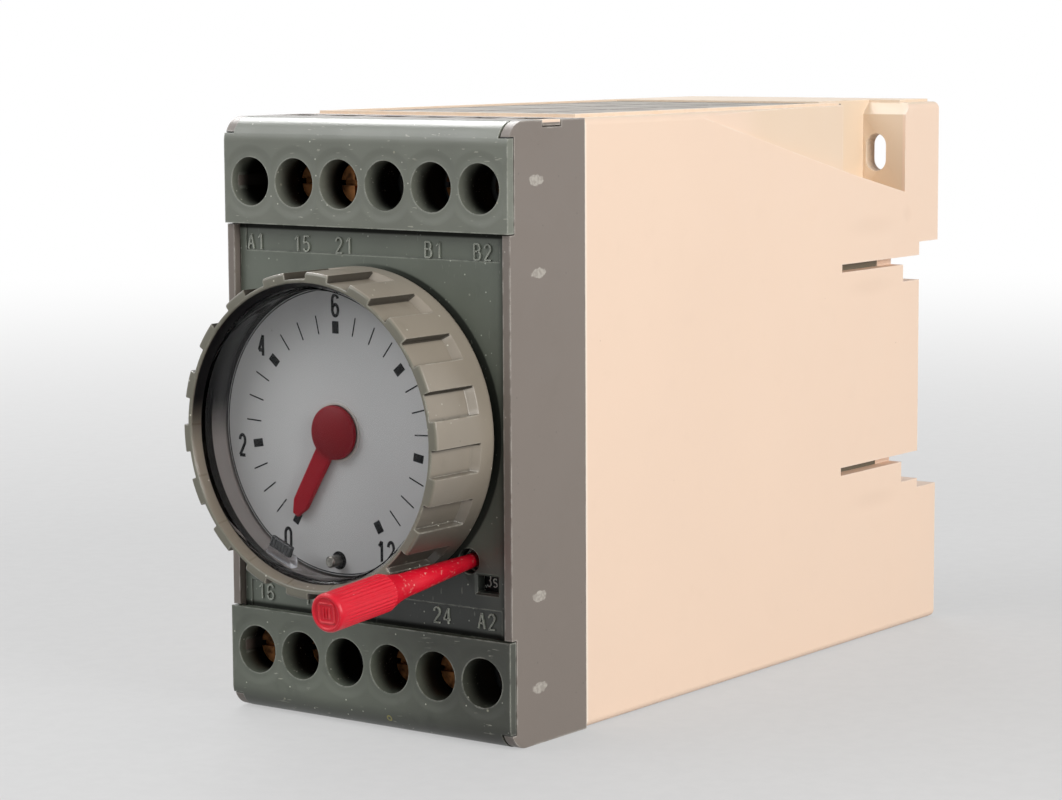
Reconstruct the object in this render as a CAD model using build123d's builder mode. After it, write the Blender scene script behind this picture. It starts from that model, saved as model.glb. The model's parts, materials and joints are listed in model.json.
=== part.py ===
"""Rail-mounted setting timer with a large dial knob.

Frame: X to the right, Y to the back, Z up, millimetres.
The origin lies on the underside, midway across the case and midway along its depth.
"""
from build123d import *
import os
from math import atan2, cos, degrees, radians, sin, sqrt

os.makedirs("parts", exist_ok=True)

# ---- Driving dimensions: case ----
case_width = 44.0
case_height = 75.0
case_depth = 104.0
housing_wall = 2.0
roof_rim_height = 0.4         # raised border round the roof label, and the step behind it
roof_rim_width = 1.2
roof_rim_side_inset = 1.9
roof_rim_front_gap = 0.6
roof_step_length = 22.0
label_thickness = 0.15
frame_depth = 15.75
frame_wall = 1.1
frame_setback = 0.42          # the frame's side walls start this far behind the covers' faces
frame_skirt_length = 5.0
frame_skirt_wall = 1.1
shoulder_length = 2.0
seat_gap = 0.15               # between mouldings that fit into one another
corner_round = 1.0
overrun = 1.0                 # cutting shapes run past the faces they cut by this much
overlap = 0.1                 # shapes that join run into one another by this much

# ---- Rail recess, feet and fixing lugs ----
rail_width = 35.0
rail_clearance = 0.2
rail_thickness = 1.0
rail_face_inset = 5.4         # from the back of the feet to the face the rail lies on
relief_depth = 10.0           # tilting relief, from the back of the feet
upper_relief_height = 3.5
upper_lip_height = 1.9
lower_relief_height = 4.0
lower_lip_height = 1.3
slit_height = 1.1
slit_front_inset = 27.0
back_wall_inset = 14.0
lug_pocket_width = 6.9
lug_pocket_front_inset = 25.0
lug_pocket_wall = 1.6
lug_wall_front_inset = 9.7
lug_wall_thickness = 2.4
lug_slot_width = 3.2
lug_slot_length = 5.3
lug_slot_side_inset = 4.75
lug_slot_height_inset = 7.0
lug_floor_front_depth = 9.3    # below the roof, at the pocket's front
lug_floor_back_depth = 12.5    # below the roof, at the lug's wall
driver_ramp_length = 40.0     # shallow ramp beside the pocket, for a screwdriver
driver_ramp_depth = 1.2
lug_edge_chamfer = 1.6
hook_width = 8.0
hook_spacing = 24.0
hook_thickness = 1.8
hook_reach = 2.4

# ---- Rail latch ----
latch_width = 14.0
latch_thickness = 1.8
latch_clearance = 0.15
latch_tail_width = 5.0
latch_shoulder_height = 9.0    # underside of the wide part, above the case's underside
latch_tail_bottom = 3.3
guide_width = 3.0
guide_groove = 1.4
guide_depth_margin = 1.2
spring_radius = 1.2
spring_wire_radius = 0.22
spring_turns = 6
spring_side = 4.2

# ---- Terminals ----
terminals_per_row = 6
terminal_side_margin = 0.64
terminal_row_inset = 7.95
cover_height = 13.2
cover_thickness = 1.2
cover_seam = 0.15
cover_round = 3.0
cover_lip_length = 3.2
driver_hole_radius = 3.02
sleeve_wall = 0.42
sleeve_end = 6.5
ear_width = 1.35
ear_height = 1.85
ear_setback = 0.2
catch_front = 7.0             # behind the covers' faces
catch_length = 3.9
catch_thickness = 0.7
tongue_thickness = 0.8
tongue_height = 1.3
tongue_outer_inset = 0.8      # from the case's side to the tongue
block_front = 6.8
block_depth = 6.8
block_height = 11.3
chamber_width = 4.9
chamber_floor_drop = 3.9
chamber_back_wall = 0.7
head_clearance = 0.15
screw_head_radius = 2.45
screw_head_length = 1.9
screw_slot_width = 0.7
screw_slot_depth = 0.8
screw_shank_radius = 1.6
screw_length = 8.6
screw_bore_clearance = 0.15
screw_depths_top = [7.4, 4.5, 3.6, 7.4, 6.2, 7.0]
screw_depths_bottom = [3.7, 5.2, 7.4, 4.5, 4.3, 7.4]
clamp_size = 4.7
clamp_thickness = 0.8
clamp_front = 9.55
bar_thickness = 0.9
bar_width = 4.4
bar_rise = 3.4                # the bar ends this far beyond the screw's centre
wire_entry_width = 5.2
wire_entry_front = 8.4
wire_entry_length = 4.6

# ---- Front panel ----
panel_face = 1.4              # the panel's face lies this far behind the covers' faces
panel_thickness = 1.6
panel_tuck = 1.0              # how far the panel runs on behind each cover
strip_height = 3.4
strip_sink = 0.15
strip_side_margin = 1.0
ledge_width = 1.2
ledge_depth = 1.5
ledge_length = 30.0
post_radius = 1.8
post_screw_radius = 0.9
post_screw_length = 4.0
post_screw_head_radius = 1.6
post_screw_head = 0.9
post_board_gap = 0.17         # between a post and the setting board

# ---- Range selector, window and key ----
selector_side_inset = 7.1     # from the case's side to the selector's axis
selector_knob_gap = 1.55      # from the knob's rim to the selector's axis
key_hole_radius = 1.56
range_window_width = 3.1
range_window_height = 2.1
range_window_offset = 2.7     # right of the selector's axis
range_window_drop = 2.65      # below the selector's axis
range_window_bevel = 0.25
range_disc_radius = 5.5
range_disc_thickness = 0.6
disc_gap = 0.3
selector_shaft_radius = 1.75
selector_socket_radius = 1.38
selector_socket_depth = 4.4
selector_tail_radius = 1.2
switch_size = 6.4
switch_length = 6.0
switch_flange = 0.5
switch_flange_thickness = 0.8
key_droop = 4.5
key_handle_radius = 2.3
key_handle_length = 11.6
key_shoulder_length = 4.4
key_neck_radius = 1.4
key_shank_length = 10.9
key_mouth_radius = 0.88
key_tip_radius = 0.8
key_insertion = 5.0
key_flutes = 24
key_flute_depth = 0.14
key_end_chamfer = 0.45

# ---- Knob and dial ----
knob_radius = 19.75
knob_front = 10.9             # ahead of the covers' faces
knob_back_gap = 0.5           # between the knob's rear and the panel
knob_inner_radius = 17.95
knob_pockets = 18
knob_pocket_depth = 0.85
knob_pocket_length = 8.5
knob_pocket_phase = 15.5
knob_pocket_share = 0.5
knob_pocket_slope = 0.9
knob_rim_chamfer = 0.25
knob_flange_round = 1.2
knob_web = 1.6
sleeve_outer_radius = 15.3
sleeve_inner_radius = 14.3
running_clearance = 0.08
retainer_width = 2.6
retainer_thickness = 1.0
retainer_gap = 0.3
window_thickness = 1.0
window_recess = 0.7
window_wall = 0.7
window_wall_length = 3.6
window_fit = 0.1
index_inner_radius = 14.3
index_outer_radius = 17.0
index_width = 2.6
index_length = 2.2
index_turn = 22.5             # from straight down, clockwise as seen from the front
dial_face = 5.1               # ahead of the covers' faces
dial_radius = 17.45
dial_thickness = 0.5
carrier_flange = 1.2
carrier_flange_radius = 17.4
drum_clearance = 0.2
drum_wall = 1.5
scale_sweep = 300.0
stop_pin_radius = 0.72
stop_pin_circle = 15.64
stop_pin_reach = 1.7
stop_pin_hole_radius = 0.9

# ---- Pointer ----
pointer_hub_radius = 3.3
pointer_thickness = 0.55
collar_radius = 3.6
collar_thickness = 0.2
pointer_gap = 0.35
pointer_length = 12.1
pointer_arm_width = 2.5
pointer_tip_width = 0.9
pointer_tip_length = 1.7
arbor_radius = 0.75
arbor_clearance = 0.04
bush_radius = 2.9

# ---- Movement ----
plate_thickness = 1.2
front_plate = 9.0             # behind the covers' faces
plate_spacing = 11.8
plate_side_gap = 1.0          # between the plates and the main board's face
plate_drop = 17.5             # the plates reach this far below the dial's centre
plate_top_gap = 0.6           # between the plates and the upper link board
plate_notch_gap = 0.15
pillar_radius = 1.6
pillar_tenon_radius = 0.9
pillar_inset = 1.7
gear_module = 0.4
centre_teeth = 60
pinion_teeth = 12
intermediate_teeth = 30
gear_thickness = 1.2
pinion_length = 2.4
gear_addendum = 0.8           # in modules
gear_dedendum = 1.1
tooth_fill = 0.42             # tooth thickness at the pitch line, as a share of the pitch
tooth_root_spread = 1.5       # tooth thickness at the root, as a share of that at the pitch line
tooth_tip_spread = 0.5
centre_gear_depth = 12.6
intermediate_gear_depth = 16.0
intermediate_x = 8.0
motor_radius = 12.4
motor_length = 12.0
motor_wall = 0.8
motor_coil_inner = 6.4
motor_coil_margin = 0.3
motor_rotor_radius = 5.2
rotor_end_gap = 1.2

# ---- Setting board ----
track_board_thickness = 1.0
track_board_radius = 18.4
track_board_gap = 0.8
spacer_width = 2.6
wiper_width = 3.0
wiper_clearance = 0.1

# ---- Main board and what stands on it ----
board_thickness = 1.6
board_pad_radius = 2.0
main_board_inset = 5.0        # from the case's side to the populated face
main_board_bottom = 4.0
board_pad_inset = 5.0
board_pad_back_gap = 6.0
board_screw_radius = 0.8
board_screw_head_radius = 1.6
board_screw_head = 1.0
link_board_front = 16.3        # behind the covers' faces
link_board_height = 10.2
link_board_gap = 0.1
relay_front = 44.0            # behind the covers' faces, as the next values
relay_bottom = 8.0
relay_length = 26.0
relay_height = 15.0
relay_base = 1.6
relay_coil_radius = 4.6
relay_flange_radius = 5.4
relay_flange = 1.0
relay_coil_length = 15.0
relay_core_radius = 1.8
relay_yoke = 1.2
relay_yoke_height = 10.0
relay_armature_gap = 0.8
contact_width = 3.0
contact_thickness = 0.35
contact_height = 9.0
contact_button_radius = 1.1
contact_button = 0.5
transformer_front = 46.0
transformer_drop = 1.5        # the core's underside, below the dial's centre
transformer_length = 24.0
transformer_height = 20.0
transformer_stack = 9.6
transformer_limb = 4.0
winding_overhang = 2.2
capacitor_radius = 5.0
capacitor_length = 13.0
capacitor_groove = 0.35
capacitor_places = [(58.0, -8.0), (40.7, 7.0)]    # behind the covers, above the dial's centre
chip_front = 30.0
chip_bottom = 13.0
chip_length = 9.6
chip_height = 6.4
chip_thickness = 3.2
chip_legs = 4
chip_leg_pitch = 2.54
chip_leg_width = 0.5
resistor_radius = 1.2
resistor_length = 6.0
resistor_lead_radius = 0.3
resistor_lead_span = 9.0
resistor_places = [(28.0, -9.5), (32.0, -9.5), (36.0, -9.5), (40.0, -9.5)]    # as the capacitors

# ---- Derived places ----
half_width = case_width / 2
inner_half = half_width - housing_wall
front = -case_depth / 2
back = case_depth / 2
dial_height = case_height / 2
roof_top = case_height + roof_rim_height
frame_back = front + frame_depth
main_board_face = half_width - main_board_inset
board_pads = [
    (pad_y, pad_z)
    for pad_y in (
        frame_back + frame_skirt_length + 2 * board_pad_radius,
        back - back_wall_inset - board_pad_back_gap,
    )
    for pad_z in (
        main_board_bottom + board_pad_inset,
        case_height - main_board_bottom - board_pad_inset - lug_slot_height_inset,
    )
]
rail_top = dial_height + rail_width / 2 + rail_clearance
rail_bottom = dial_height - rail_width / 2 - rail_clearance
rail_face = back - rail_face_inset
relief_face = back - relief_depth
upper_relief_top = rail_top - upper_lip_height
upper_relief_bottom = upper_relief_top - upper_relief_height
lower_relief_bottom = rail_bottom + lower_lip_height
lower_relief_top = lower_relief_bottom + lower_relief_height
hook_face = rail_face + rail_thickness + rail_clearance
slit_front = back - slit_front_inset
cavity_back = back - back_wall_inset
lug_wall_front = back - lug_wall_front_inset
lug_wall_back = lug_wall_front + lug_wall_thickness
pocket_front = back - lug_pocket_front_inset
pocket_side = half_width - lug_pocket_width
foot_wall = housing_wall
panel_front = front + panel_face
panel_back = panel_front + panel_thickness
knob_face = front - knob_front
knob_rear = panel_front - knob_back_gap
window_face = knob_face + window_recess
dial_front = front - dial_face
plate_front = front + front_plate
plate_back = plate_front + plate_thickness
rear_plate_front = plate_back + plate_spacing
rear_plate_back = rear_plate_front + plate_thickness
selector_x = half_width - selector_side_inset
selector_drop = sqrt((knob_radius + selector_knob_gap) ** 2 - selector_x**2)
selector_height = dial_height - selector_drop
range_window_x = selector_x + range_window_offset
range_window_height_centre = selector_height - range_window_drop
retainer_front = panel_back + retainer_gap + disc_gap + range_disc_thickness + disc_gap
sleeve_back = retainer_front + retainer_thickness
drum_radius = sleeve_inner_radius - drum_clearance
drum_front = dial_front + dial_thickness
track_board_front = sleeve_back + track_board_gap
track_board_back = track_board_front + track_board_thickness
retainer_radius = sleeve_outer_radius + retainer_width
cover_bottom = case_height - cover_height
inner_frame_half = half_width - frame_wall
skirt_drop = housing_wall + seat_gap
link_board_top_edge = case_height - skirt_drop - frame_skirt_wall - seat_gap
plate_half_width = main_board_face - plate_side_gap
plate_bottom = dial_height - plate_drop
plate_top = link_board_top_edge - link_board_height - plate_top_gap
block_half = inner_frame_half - seat_gap
block_top = case_height - frame_wall - seat_gap
tongue_outer = half_width - tongue_outer_inset
tongue_inner = tongue_outer - tongue_thickness
tongue_top = case_height - tongue_outer_inset - seat_gap
tongue_bottom = tongue_top - tongue_height
skirt_half = inner_half - seat_gap
shoulder_half = skirt_half - frame_skirt_wall
bar_tail_back = front + link_board_front + board_thickness
chamber_back = front + block_front + block_depth - chamber_back_wall
bar_back = chamber_back - seat_gap / 2
chamber_floor = case_height - terminal_row_inset - chamber_floor_drop
terminal_pitch = (case_width - 2 * terminal_side_margin) / terminals_per_row
terminal_xs = [
    (index - (terminals_per_row - 1) / 2) * terminal_pitch for index in range(terminals_per_row)
]
terminal_relief_half = terminal_xs[-1] + (chamber_width + seat_gap) / 2
top_row_height = case_height - terminal_row_inset


def facing(y):
    """Plane across the case at depth y, drawn as seen from the front, normal forwards."""
    return Plane.XZ.offset(-y)


def side_plane(x):
    """Plane along the case at x, local axes Y and Z, normal to the right."""
    return Plane.YZ.offset(x)


def save_shape(shape, name):
    """Label a finished shape and write it."""
    shape.label = name
    export_step(shape, f"parts/{name}.step")


def save(piece, name):
    """Label the part of a finished builder and write it."""
    save_shape(piece.part, name)


def add_box(x, y, z, mode=Mode.ADD):
    """Block between two limits on each axis, in the part being built."""
    with Locations(((x[0] + x[1]) / 2, (y[0] + y[1]) / 2, (z[0] + z[1]) / 2)):
        Box(x[1] - x[0], y[1] - y[0], z[1] - z[0], mode=mode)


def add_rod(x, z, radius, y_front, y_back, mode=Mode.ADD):
    """Round rod along Y, in the part being built."""
    with BuildSketch(facing(y_back)) as disc:
        with Locations((x, z)):
            Circle(radius)
    extrude(disc.sketch, amount=y_back - y_front, mode=mode)


# ---- Housing ----
roof_over = roof_top + corner_round
pocket_floor_front = case_height - lug_floor_front_depth
pocket_floor_back = case_height - lug_floor_back_depth
case_axis = Axis((0, 0, dial_height), (0, 1, 0))

with BuildPart() as lug_block:
    add_box(
        (pocket_side - lug_pocket_wall, inner_half + corner_round / 2),
        (pocket_front - lug_pocket_wall, lug_wall_back),
        (pocket_floor_back - lug_pocket_wall, case_height - housing_wall / 2),
    )

with BuildPart() as lug_pocket:
    for y, floor in ((pocket_front, pocket_floor_front), (lug_wall_front, pocket_floor_back)):
        with BuildSketch(facing(y)):
            with Locations(((pocket_side + half_width + overrun) / 2, (floor + roof_over) / 2)):
                Rectangle(half_width + overrun - pocket_side, roof_over - floor)
    loft()
    # flared upper edge of the lug's wall
    with BuildSketch(side_plane(pocket_side)):
        with BuildLine():
            Polyline(
                (lug_wall_front, case_height - lug_edge_chamfer),
                (lug_wall_front + lug_edge_chamfer, case_height),
                (lug_wall_front + lug_edge_chamfer, roof_over),
                (lug_wall_front, roof_over),
                close=True,
            )
        make_face()
    extrude(amount=lug_pocket_width + overrun)

with BuildPart() as lug_slot:
    with BuildSketch(facing(lug_wall_front - overrun)):
        with Locations((half_width - lug_slot_side_inset, case_height - lug_slot_height_inset)):
            SlotOverall(lug_slot_length, lug_slot_width, rotation=90)
    extrude(amount=-(lug_wall_thickness + 2 * overrun))

with BuildPart() as driver_ramp:
    ramp_front = pocket_front - driver_ramp_length
    with BuildSketch(Plane.XY.offset(pocket_floor_front)):
        with BuildLine():
            Polyline(
                (half_width, ramp_front),
                (half_width - driver_ramp_depth, pocket_front + overlap),
                (half_width + overrun, pocket_front + overlap),
                (half_width + overrun, ramp_front),
                close=True,
            )
        make_face()
    extrude(amount=roof_over - pocket_floor_front)
    with BuildSketch(side_plane(half_width - 2 * driver_ramp_depth)):
        with BuildLine():
            Polyline(
                (ramp_front, case_height),
                (pocket_front + overlap, pocket_floor_front),
                (pocket_front + overlap, roof_over),
                (ramp_front, roof_over),
                close=True,
            )
        make_face()
    extrude(amount=4 * driver_ramp_depth, mode=Mode.INTERSECT)

with BuildPart() as snap_tongue:
    add_box(
        (tongue_inner, tongue_outer),
        (front + catch_front + seat_gap, frame_back + 2 * housing_wall),
        (tongue_bottom, tongue_top),
    )
    for x_outer, z_bottom in (
        (tongue_outer, tongue_bottom),
        (half_width - seat_gap / 2, case_height - catch_thickness),
    ):
        add_box(
            (tongue_inner, x_outer),
            (front + catch_front + seat_gap, front + catch_front + catch_length - seat_gap),
            (z_bottom, case_height),
        )

with BuildPart() as housing:
    with BuildSketch(side_plane(-half_width)):
        with BuildLine():
            Polyline(
                (frame_back, 0),
                (back, 0),
                (back, rail_bottom),
                (rail_face, rail_bottom),
                (rail_face, lower_relief_bottom),
                (relief_face, lower_relief_bottom),
                (relief_face, lower_relief_top),
                (rail_face, lower_relief_top),
                (rail_face, upper_relief_bottom),
                (relief_face, upper_relief_bottom),
                (relief_face, upper_relief_top),
                (rail_face, upper_relief_top),
                (rail_face, rail_top),
                (back, rail_top),
                (back, case_height),
                (frame_back, case_height),
                close=True,
            )
        make_face()
    extrude(amount=case_width)
    long_edges = housing.edges().filter_by(Axis.Y).group_by(Axis.Z)
    fillet(long_edges[0] + long_edges[-1], corner_round)
    # main cavity, and the deeper space behind the rail face
    add_box(
        (-inner_half, inner_half),
        (frame_back, cavity_back),
        (housing_wall, case_height - housing_wall),
        mode=Mode.SUBTRACT,
    )
    add_box(
        (-inner_half, inner_half),
        (cavity_back, rail_face - housing_wall),
        (lower_relief_top + housing_wall, upper_relief_bottom - housing_wall),
        mode=Mode.SUBTRACT,
    )
    # the feet are hollow from the back
    add_box(
        (-inner_half, inner_half),
        (cavity_back + housing_wall, back),
        (rail_top + foot_wall, case_height - housing_wall),
        mode=Mode.SUBTRACT,
    )
    add_box(
        (-inner_half, inner_half),
        (cavity_back + housing_wall, back),
        (housing_wall, rail_bottom - foot_wall),
        mode=Mode.SUBTRACT,
    )
    # slits in both cheeks beside the rail
    for slit_top in (upper_relief_top, lower_relief_top):
        for side in (-1, 1):
            add_box(
                sorted((side * inner_half, side * half_width)),
                (slit_front, relief_face),
                (slit_top - slit_height, slit_top),
                mode=Mode.SUBTRACT,
            )
    # raised border round the label, and the step across the back of the roof
    rim_half = half_width - roof_rim_side_inset
    rim_front = frame_back + roof_rim_front_gap
    rim_back = back - roof_step_length
    add_box((-rim_half, rim_half), (rim_front, rim_back), (case_height - corner_round, roof_top))
    add_box(
        (-rim_half + roof_rim_width, rim_half - roof_rim_width),
        (rim_front + roof_rim_width, rim_back),
        (case_height, roof_top),
        mode=Mode.SUBTRACT,
    )
    add_box((-rim_half, rim_half), (rim_back, back), (case_height - corner_round, roof_top))
    # fixed hooks that take the rail's upper edge
    for hook_x in (-hook_spacing / 2, hook_spacing / 2):
        add_box(
            (hook_x - hook_width / 2, hook_x + hook_width / 2),
            (hook_face, hook_face + hook_thickness),
            (rail_top - hook_reach, rail_top + foot_wall / 2),
        )
    # guides for the rail latch, and the openings it passes through
    groove_half = latch_width / 2 + latch_clearance
    guide_outer = groove_half + guide_width
    guide_front = hook_face - guide_depth_margin
    guide_back = hook_face + latch_thickness + guide_depth_margin
    add_box(
        (-guide_outer, guide_outer),
        (cavity_back + housing_wall / 2, guide_back),
        (housing_wall / 2, rail_bottom - foot_wall / 2),
    )
    add_box(
        (-groove_half + guide_groove, groove_half - guide_groove),
        (cavity_back + housing_wall, guide_back),
        (housing_wall, rail_bottom - foot_wall),
        mode=Mode.SUBTRACT,
    )
    add_box(
        (-groove_half, groove_half),
        (hook_face - latch_clearance, hook_face + latch_thickness + latch_clearance),
        (housing_wall, rail_bottom + overrun),
        mode=Mode.SUBTRACT,
    )
    add_box(
        (-latch_tail_width / 2 - latch_clearance, latch_tail_width / 2 + latch_clearance),
        (hook_face - latch_clearance, back + overrun),
        (-overrun, housing_wall),
        mode=Mode.SUBTRACT,
    )
    # pads that carry the main board
    with BuildSketch(side_plane(main_board_face + board_thickness)) as pads:
        with Locations(*board_pads):
            Circle(board_pad_radius)
    extrude(pads.sketch, amount=inner_half - main_board_face - board_thickness + seat_gap)
    with BuildSketch(side_plane(main_board_face + board_thickness)) as pad_holes:
        with Locations(*board_pads):
            Circle(board_screw_radius)
    extrude(pad_holes.sketch, amount=inner_half - main_board_face - board_thickness, mode=Mode.SUBTRACT)
    # tongues that snap into the front frame, and the diagonal fixing lugs
    for turn in (0, 180):
        add(snap_tongue.part.rotate(case_axis, turn))
        add(lug_block.part.rotate(case_axis, turn))
    for turn in (0, 180):
        add(lug_pocket.part.rotate(case_axis, turn), mode=Mode.SUBTRACT)
        add(lug_slot.part.rotate(case_axis, turn), mode=Mode.SUBTRACT)
        add(driver_ramp.part.rotate(case_axis, turn), mode=Mode.SUBTRACT)
save(housing, "housing")

# ---- Front frame ----
middle = Plane.XY.offset(dial_height)
wire_entries = [
    (
        (x - wire_entry_width / 2, x + wire_entry_width / 2),
        (front + wire_entry_front, front + wire_entry_front + wire_entry_length),
    )
    for x in terminal_xs
]

with BuildPart() as tongue_channel:
    add_box(
        (tongue_inner - seat_gap, tongue_outer + seat_gap),
        (front + catch_front, frame_back + overrun),
        (tongue_bottom - seat_gap, tongue_top + seat_gap),
    )
    add_box(
        (tongue_inner - seat_gap, half_width + overrun),
        (front + catch_front, front + catch_front + catch_length),
        (case_height - catch_thickness - seat_gap, case_height + overrun),
    )

with BuildPart() as front_frame:
    tube_front = front + cover_thickness + cover_seam
    add_box((-half_width, half_width), (tube_front, frame_back), (0, case_height))
    add_box(
        (-inner_frame_half, inner_frame_half),
        (tube_front, frame_back),
        (frame_wall, case_height - frame_wall),
        mode=Mode.SUBTRACT,
    )
    ear_inner = half_width - ear_width
    for low, high in ((0, frame_wall), (case_height - frame_wall, case_height)):
        add_box(
            (-ear_inner, ear_inner),
            (tube_front, front + cover_lip_length + cover_seam),
            (low, high),
            mode=Mode.SUBTRACT,
        )
    for side in (-1, 1):
        # cheek beside the panel
        add_box(
            sorted((side * inner_frame_half, side * half_width)),
            (front + frame_setback, tube_front),
            (cover_height + cover_seam, cover_bottom - cover_seam),
        )
        # corner ears beside the rounded lips of the covers
        for low, high in ((0, ear_height), (case_height - ear_height, case_height)):
            add_box(
                sorted((side * ear_inner, side * half_width)),
                (front + ear_setback, front + cover_lip_length + cover_seam),
                (low, high),
            )
    # the ears follow the covers' rounded edges
    with BuildSketch(side_plane(-half_width)) as ear_corners:
        for corner, inward in ((0, 1), (case_height, -1)):
            with Locations((front + ear_setback, corner)):
                Rectangle(2 * cover_round, 2 * cover_round)
            with Locations((front + ear_setback + cover_round, corner + inward * cover_round)):
                Circle(cover_round, mode=Mode.SUBTRACT)
                with Locations((cover_round, 0), (0, inward * cover_round)):
                    Rectangle(2 * cover_round, 2 * cover_round, mode=Mode.SUBTRACT)
    extrude(ear_corners.sketch, amount=case_width, mode=Mode.SUBTRACT)
    # shoulder that meets the housing's edge, and the skirts that slide inside it
    add_box(
        (-inner_frame_half - seat_gap, inner_frame_half + seat_gap),
        (frame_back - shoulder_length, frame_back),
        (frame_wall - seat_gap, case_height - frame_wall + seat_gap),
    )
    add_box(
        (-shoulder_half, shoulder_half),
        (frame_back - shoulder_length, frame_back),
        (skirt_drop + frame_skirt_wall, case_height - skirt_drop - frame_skirt_wall),
        mode=Mode.SUBTRACT,
    )
    for low, high in (
        (skirt_drop + frame_skirt_wall, cover_height),
        (cover_bottom, case_height - skirt_drop - frame_skirt_wall),
    ):
        add_box(
            (-terminal_relief_half, terminal_relief_half),
            (frame_back - shoulder_length, frame_back),
            (low, high),
            mode=Mode.SUBTRACT,
        )
    for side in (-1, 1):
        add_box(
            sorted((side * shoulder_half, side * skirt_half)),
            (frame_back, frame_back + frame_skirt_length),
            (cover_height, cover_bottom),
        )
    for low in (skirt_drop, case_height - skirt_drop - frame_skirt_wall):
        add_box(
            (-ledge_length / 2, ledge_length / 2),
            (frame_back, frame_back + frame_skirt_length),
            (low, low + frame_skirt_wall),
        )
    # channel and corner notch for the housing's two tongues
    for turn in (0, 180):
        add(tongue_channel.part.rotate(case_axis, turn), mode=Mode.SUBTRACT)
    # ledges behind the panel
    for side in (-1, 1):
        add_box(
            sorted((side * (inner_frame_half - ledge_width), side * inner_frame_half)),
            (panel_back, panel_back + ledge_depth),
            (dial_height - ledge_length / 4, dial_height + 3 * ledge_length / 4),
        )
    # wire entries through roof and floor
    for x_limits, y_limits in wire_entries:
        add_box(x_limits, y_limits, (-overrun, case_height + overrun), mode=Mode.SUBTRACT)
save(front_frame, "front_frame")

# ---- Terminal covers ----
with BuildPart() as terminal_cover_top:
    with BuildSketch(side_plane(-half_width)):
        with BuildLine():
            round_centre = (front + cover_round, case_height - cover_round)
            inner_round = cover_round - cover_thickness
            diagonal = sin(radians(45))
            Line((front, cover_bottom), (front, round_centre[1]))
            ThreePointArc(
                (front, round_centre[1]),
                (round_centre[0] - cover_round * diagonal, round_centre[1] + cover_round * diagonal),
                (round_centre[0], case_height),
            )
            Polyline(
                (round_centre[0], case_height),
                (front + cover_lip_length, case_height),
                (front + cover_lip_length, case_height - cover_thickness),
                (round_centre[0], case_height - cover_thickness),
            )
            ThreePointArc(
                (round_centre[0], case_height - cover_thickness),
                (round_centre[0] - inner_round * diagonal, round_centre[1] + inner_round * diagonal),
                (front + cover_thickness, round_centre[1]),
            )
            Polyline(
                (front + cover_thickness, round_centre[1]),
                (front + cover_thickness, cover_bottom),
                (front, cover_bottom),
            )
        make_face()
    extrude(amount=case_width)
    for side in (-1, 1):
        add_box(
            sorted((side * (ear_inner - cover_seam), side * (half_width + overrun))),
            (front - overrun, front + cover_lip_length + overrun),
            (case_height - ear_height - cover_seam, case_height + overrun),
            mode=Mode.SUBTRACT,
        )
    for x in terminal_xs:
        sleeve_front = front + cover_thickness / 2
        add_rod(x, top_row_height, driver_hole_radius + sleeve_wall, sleeve_front, front + sleeve_end)
    for x in terminal_xs:
        add_rod(x, top_row_height, driver_hole_radius, front - overrun, front + sleeve_end, mode=Mode.SUBTRACT)
    for side in (-1, 1):
        add_box(
            sorted((side * block_half, side * (half_width + overrun))),
            (front + cover_thickness, front + sleeve_end + overrun),
            (cover_bottom, case_height + overrun),
            mode=Mode.SUBTRACT,
        )
save(terminal_cover_top, "terminal_cover_top")

terminal_cover_bottom = mirror(terminal_cover_top.part, about=middle)
save_shape(terminal_cover_bottom, "terminal_cover_bottom")

# ---- Terminal blocks ----
with BuildPart() as terminal_block_top:
    add_box(
        (-block_half, block_half),
        (front + block_front, front + block_front + block_depth),
        (block_top - block_height, block_top),
    )
    for x in terminal_xs:
        add_box(
            (x - chamber_width / 2, x + chamber_width / 2),
            (front + wire_entry_front, chamber_back),
            (chamber_floor, block_top),
            mode=Mode.SUBTRACT,
        )
        add_rod(
            x,
            top_row_height,
            screw_head_radius + head_clearance,
            front + block_front,
            front + wire_entry_front,
            mode=Mode.SUBTRACT,
        )
        add_rod(
            x,
            top_row_height,
            screw_shank_radius + screw_bore_clearance,
            chamber_back,
            front + block_front + block_depth,
            mode=Mode.SUBTRACT,
        )
        add_box(
            (x - bar_width / 2 - seat_gap, x + bar_width / 2 + seat_gap),
            (chamber_back - overlap, front + block_front + block_depth),
            (chamber_floor, chamber_floor + bar_thickness + 2 * seat_gap),
            mode=Mode.SUBTRACT,
        )
    add_box(
        (tongue_inner - seat_gap, half_width),
        (front + block_front, frame_back),
        (tongue_bottom - seat_gap, case_height),
        mode=Mode.SUBTRACT,
    )
save(terminal_block_top, "terminal_block_top")
save_shape(terminal_block_top.part.rotate(case_axis, 180), "terminal_block_bottom")

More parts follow.
